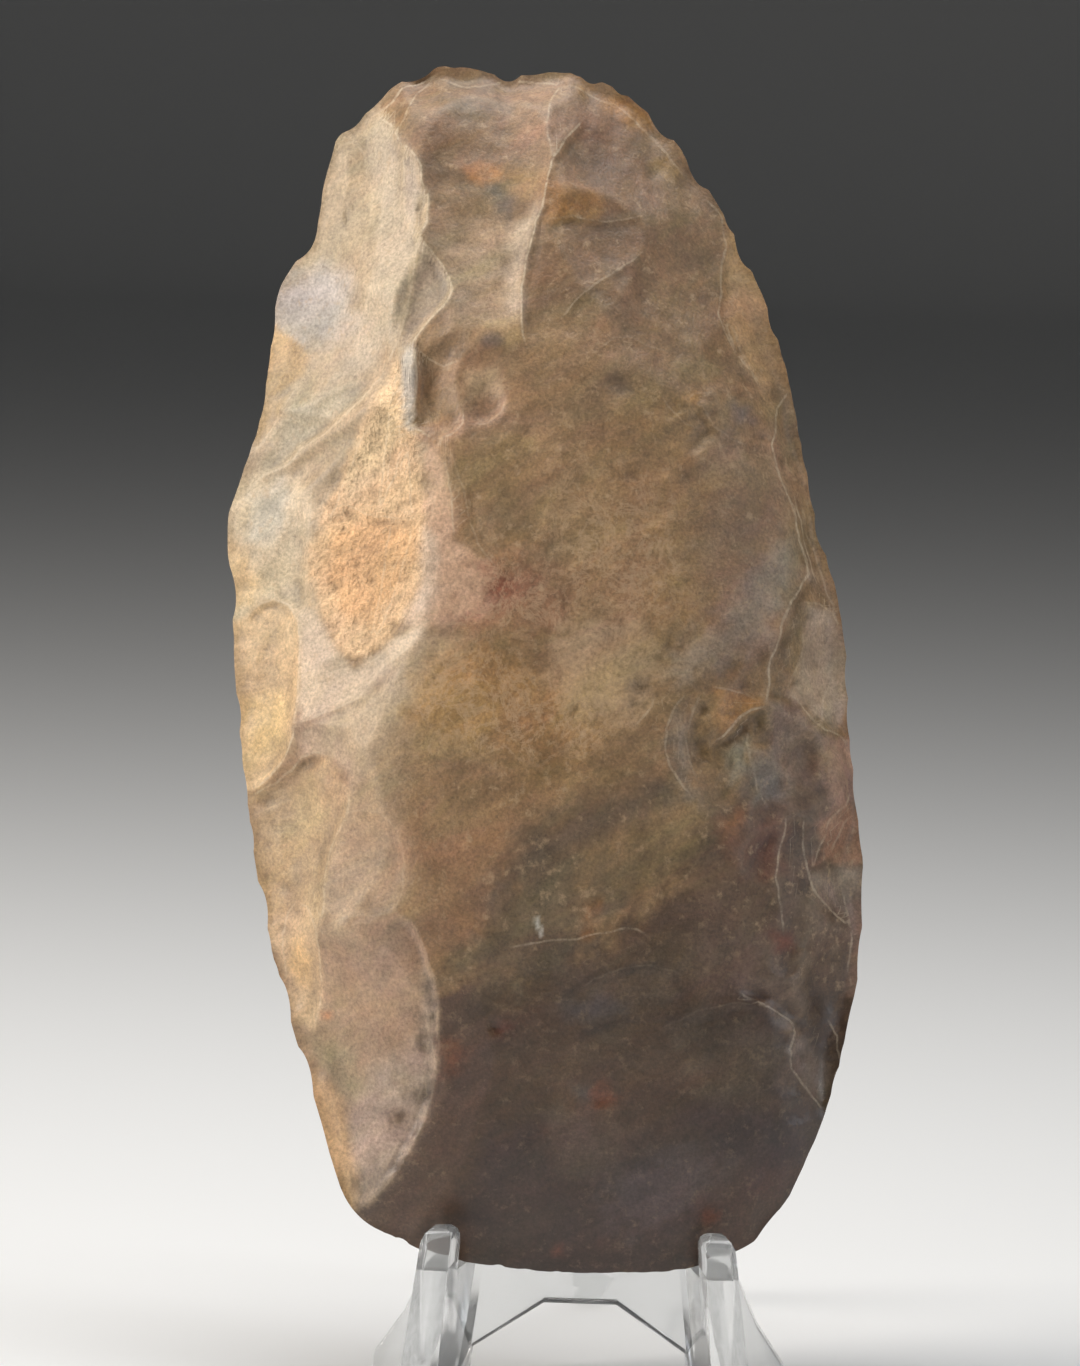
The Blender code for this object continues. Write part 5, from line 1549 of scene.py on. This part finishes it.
class StageSettings(bpy.types.PropertyGroup):
    floor_size: bpy.props.FloatProperty(
        name="Floor", description="Length of the floor's side", default=7.0, min=1.0, max=20.0,
        subtype="DISTANCE", unit="LENGTH")
    floor_colour: colour("Floor's colour", "Colour of the floor", "#F0F0EF")
    key_watts: strength("Main light", "Power of the large light on the left", 9.2)
    fill_watts: strength("Fill light", "Power of the soft light on the right", 2.0)
    top_watts: strength("Top light", "Power of the soft light overhead", 2.7)
    sky: strength("Room light", "Strength of the light from all round", 0.04, 5.0)


def stone_pose():
    """The lean and turn that the solid stands at, before it is set down on the easel."""
    return (Matrix.Rotation(-HEAD_LEAN, 4, "X") @ Matrix.Translation((0, 0, HEAD_LENGTH / 2))
            @ Matrix.Rotation(-HEAD_TURN, 4, "Y"))


def grid_face(name, face, turned):
    """A grid primitive whose corners are moved to the face's places."""
    deselect_all()
    bpy.ops.mesh.primitive_grid_add(x_subdivisions=HEAD_COLUMNS, y_subdivisions=HEAD_ROWS, size=2.0)
    sheet = bpy.context.object
    sheet.name = name
    corners = np.empty(len(sheet.data.vertices) * 3)
    sheet.data.vertices.foreach_get("co", corners)
    shares = (corners.reshape(-1, 3)[:, :2] + 1.0) / 2.0
    cells = np.rint(shares * (HEAD_COLUMNS, HEAD_ROWS)).astype(int)
    order = cells[:, 1] * (HEAD_COLUMNS + 1) + cells[:, 0]
    sheet.data.vertices.foreach_set("co", face.places.reshape(-1, 3)[order].ravel())
    tint = sheet.data.attributes.new("tint", "FLOAT_COLOR", "POINT")
    solid = np.ones((len(order), 4))
    solid[:, :3] = face.tint.reshape(-1, 3)[order]
    tint.data.foreach_set("color", solid.ravel())
    for name, read in face.reads.items():
        values = sheet.data.attributes.new(name, "FLOAT", "POINT")
        values.data.foreach_set("value", read.ravel()[order].astype(np.float32))
    if turned:
        bpy.ops.object.mode_set(mode="EDIT")
        bpy.ops.mesh.select_all(action="SELECT")
        bpy.ops.mesh.flip_normals()
        bpy.ops.object.mode_set(mode="OBJECT")
    return sheet


class STONE_AXE_OT_head(bpy.types.Operator):
    """Knap, grind and stain the axe head, and set it where the solid stands"""
    bl_idname = "stone_axe.head"
    bl_label = "Axe head"

    def execute(self, context):
        front, back = knap_faces()
        sheets = [grid_face("axe_stone", front, False), grid_face("back face", back, True)]
        deselect_all()
        for sheet in sheets:
            sheet.select_set(True)
        context.view_layer.objects.active = sheets[0]
        bpy.ops.object.join()
        stone = context.object
        bpy.ops.object.mode_set(mode="EDIT")
        bpy.ops.mesh.select_all(action="SELECT")
        bpy.ops.mesh.remove_doubles(threshold=WELD)
        bpy.ops.object.mode_set(mode="OBJECT")
        stone.data.transform(stone_pose())
        low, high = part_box("axe_head")
        corners = np.array([corner.co for corner in stone.data.vertices])
        own_low, own_high = corners.min(axis=0), corners.max(axis=0)
        middle = (Vector(low) + Vector(high)) / 2 - (Vector(own_low) + Vector(own_high)) / 2
        middle.y = high.y - own_high[1]
        stone.data.transform(Matrix.Translation(middle))
        bpy.ops.object.shade_smooth_by_angle(angle=STONE_SMOOTH)
        stone.data.materials.clear()
        stone.data.materials.append(flint_material(context.scene.stone_axe_head))
        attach(stone, "root")
        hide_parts("axe_head")
        return {"FINISHED"}


class STONE_AXE_OT_easel(bpy.types.Operator):
    """Round the moulded edges of the easel and make it of clear plastic"""
    bl_idname = "stone_axe.easel"
    bl_label = "Clear easel"

    def execute(self, context):
        settings = context.scene.stone_axe_easel
        deselect_all()
        easel = bpy.data.objects.new("clear_easel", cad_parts["display_easel"].data.copy())
        context.scene.collection.objects.link(easel)
        hold_only(easel)
        bpy.ops.object.mode_set(mode="EDIT")
        bpy.ops.mesh.select_all(action="SELECT")
        bpy.ops.mesh.remove_doubles(threshold=WELD)
        bpy.ops.mesh.dissolve_limited(angle_limit=EASEL_FLAT)
        bpy.ops.object.mode_set(mode="OBJECT")
        rounding = easel.modifiers.new("Moulded edges", "BEVEL")
        rounding.width = settings.edge_round
        rounding.segments = EASEL_ROUND_STEPS
        rounding.limit_method = "ANGLE"
        rounding.angle_limit = EASEL_SHARP
        apply_all(easel)
        bpy.ops.object.shade_smooth_by_angle(angle=EASEL_SMOOTH)
        easel.data.materials.clear()
        easel.data.materials.append(acrylic_material(settings))
        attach(easel, "root")
        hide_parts("display_easel")
        return {"FINISHED"}


def laid_sweep(settings):
    """A pale board that lies flat, and far behind the easel curves up into a wall."""
    deselect_all()
    bpy.ops.mesh.primitive_plane_add(size=settings.floor_size, location=(0, 0, 0))
    floor = bpy.context.object
    floor.name = "floor"
    floor.location.y = SWEEP_START - settings.floor_size / 2.0
    bpy.ops.object.transform_apply(location=True, rotation=False, scale=True)
    bpy.ops.object.mode_set(mode="EDIT")
    bpy.ops.mesh.select_mode(type="EDGE")
    bpy.ops.mesh.select_all(action="DESELECT")
    bpy.ops.object.mode_set(mode="OBJECT")
    for edge in floor.data.edges:
        edge.select = all(abs(floor.data.vertices[end].co.y - SWEEP_START) < MILLIMETRE
                          for end in edge.vertices)
    bpy.ops.object.mode_set(mode="EDIT")
    step = math.pi / 2.0 / SWEEP_STEPS
    for number in range(SWEEP_STEPS):
        start, end = number * step, (number + 1) * step
        bpy.ops.mesh.extrude_region_move(TRANSFORM_OT_translate={"value": (
            0.0, SWEEP_RADIUS * (math.sin(end) - math.sin(start)),
            SWEEP_RADIUS * (math.cos(start) - math.cos(end)))})
    bpy.ops.mesh.extrude_region_move(TRANSFORM_OT_translate={"value": (0.0, 0.0, SWEEP_WALL)})
    bpy.ops.object.mode_set(mode="OBJECT")
    bpy.ops.object.shade_smooth()
    return floor


def add_light(name, place, size, watts, colour):
    """Hang one soft rectangular light that faces the stone."""
    deselect_all()
    bpy.ops.object.light_add(type="AREA", location=place)
    light = bpy.context.object
    light.name = name
    light.data.shape = "RECTANGLE"
    light.data.size, light.data.size_y = size
    light.data.energy = watts
    light.data.color = linear(colour)
    aim = Vector(LIGHT_TARGET) - Vector(place)
    light.rotation_euler = aim.to_track_quat("-Z", "Y").to_euler()


class STONE_AXE_OT_stage(bpy.types.Operator):
    """Lay the pale floor, hang the soft lights and set up the camera"""
    bl_idname = "stone_axe.stage"
    bl_label = "Floor, light and camera"

    def execute(self, context):
        settings = context.scene.stone_axe_stage
        deselect_all()
        floor = laid_sweep(settings)
        floor.data.materials.append(board_material(settings))
        for name, (place, size, colour, power) in LIGHTS.items():
            add_light(name, place, size, getattr(settings, power), colour)
        world = bpy.data.worlds.new("soft room")
        world.use_nodes = True
        backdrop = world.node_tree.nodes["Background"].inputs
        backdrop["Color"].default_value = (*linear(ROOM_COLOUR), 1.0)
        backdrop["Strength"].default_value = settings.sky
        context.scene.world = world
        context.scene.view_settings.view_transform = "Standard"
        bpy.ops.object.camera_add()
        camera = context.object
        camera.name = "photograph's camera"
        camera.data.lens = LENS_MM
        camera.data.sensor_fit = "VERTICAL"
        camera.data.sensor_height = SENSOR_MM
        camera.data.sensor_width = SENSOR_MM * PHOTO_WIDTH / PHOTO_HEIGHT
        camera.data.clip_start = 0.01
        level = math.cos(VIEW_DOWN)
        toward = Vector((math.sin(VIEW_SIDEWAYS) * level, -math.cos(VIEW_SIDEWAYS) * level,
                         math.sin(VIEW_DOWN)))
        centre = Vector((VIEW_CENTRE_X, VIEW_CENTRE_Y, VIEW_CENTRE_Z))
        aim = toward.to_track_quat("Z", "Y").to_matrix().to_4x4()
        camera.matrix_world = (Matrix.Translation(centre + toward * VIEW_DISTANCE) @ aim
                               @ Matrix.Rotation(VIEW_ROLL, 4, "Z"))
        context.scene.camera = camera
        return {"FINISHED"}


class STONE_AXE_PT_sidebar(bpy.types.Panel):
    """Lists the pieces of the axe and its easel"""
    bl_idname = "STONE_AXE_PT_sidebar"
    bl_label = "Stone Axe"
    bl_space_type = "VIEW_3D"
    bl_region_type = "UI"
    bl_category = "Stone Axe"

    def draw(self, context):
        for group, operator in (("stone_axe_head", STONE_AXE_OT_head),
                                ("stone_axe_easel", STONE_AXE_OT_easel),
                                ("stone_axe_stage", STONE_AXE_OT_stage)):
            box = self.layout.box()
            settings = getattr(context.scene, group)
            for name in settings.bl_rna.properties.keys():
                if name not in ("rna_type", "name"):
                    box.prop(settings, name)
            box.operator(operator.bl_idname)


CLASSES = (StoneSettings, EaselSettings, StageSettings, STONE_AXE_OT_head, STONE_AXE_OT_easel,
           STONE_AXE_OT_stage, STONE_AXE_PT_sidebar)


def register():
    for part in CLASSES:
        bpy.utils.register_class(part)
    bpy.types.Scene.stone_axe_head = bpy.props.PointerProperty(type=StoneSettings)
    bpy.types.Scene.stone_axe_easel = bpy.props.PointerProperty(type=EaselSettings)
    bpy.types.Scene.stone_axe_stage = bpy.props.PointerProperty(type=StageSettings)


def unregister():
    del bpy.types.Scene.stone_axe_stage
    del bpy.types.Scene.stone_axe_easel
    del bpy.types.Scene.stone_axe_head
    for part in reversed(CLASSES):
        bpy.utils.unregister_class(part)


def main():
    register()
    bpy.ops.stone_axe.stage()
    bpy.ops.stone_axe.head()
    bpy.ops.stone_axe.easel()
    bpy.context.view_layer.update()


if __name__ == "__main__":
    main()
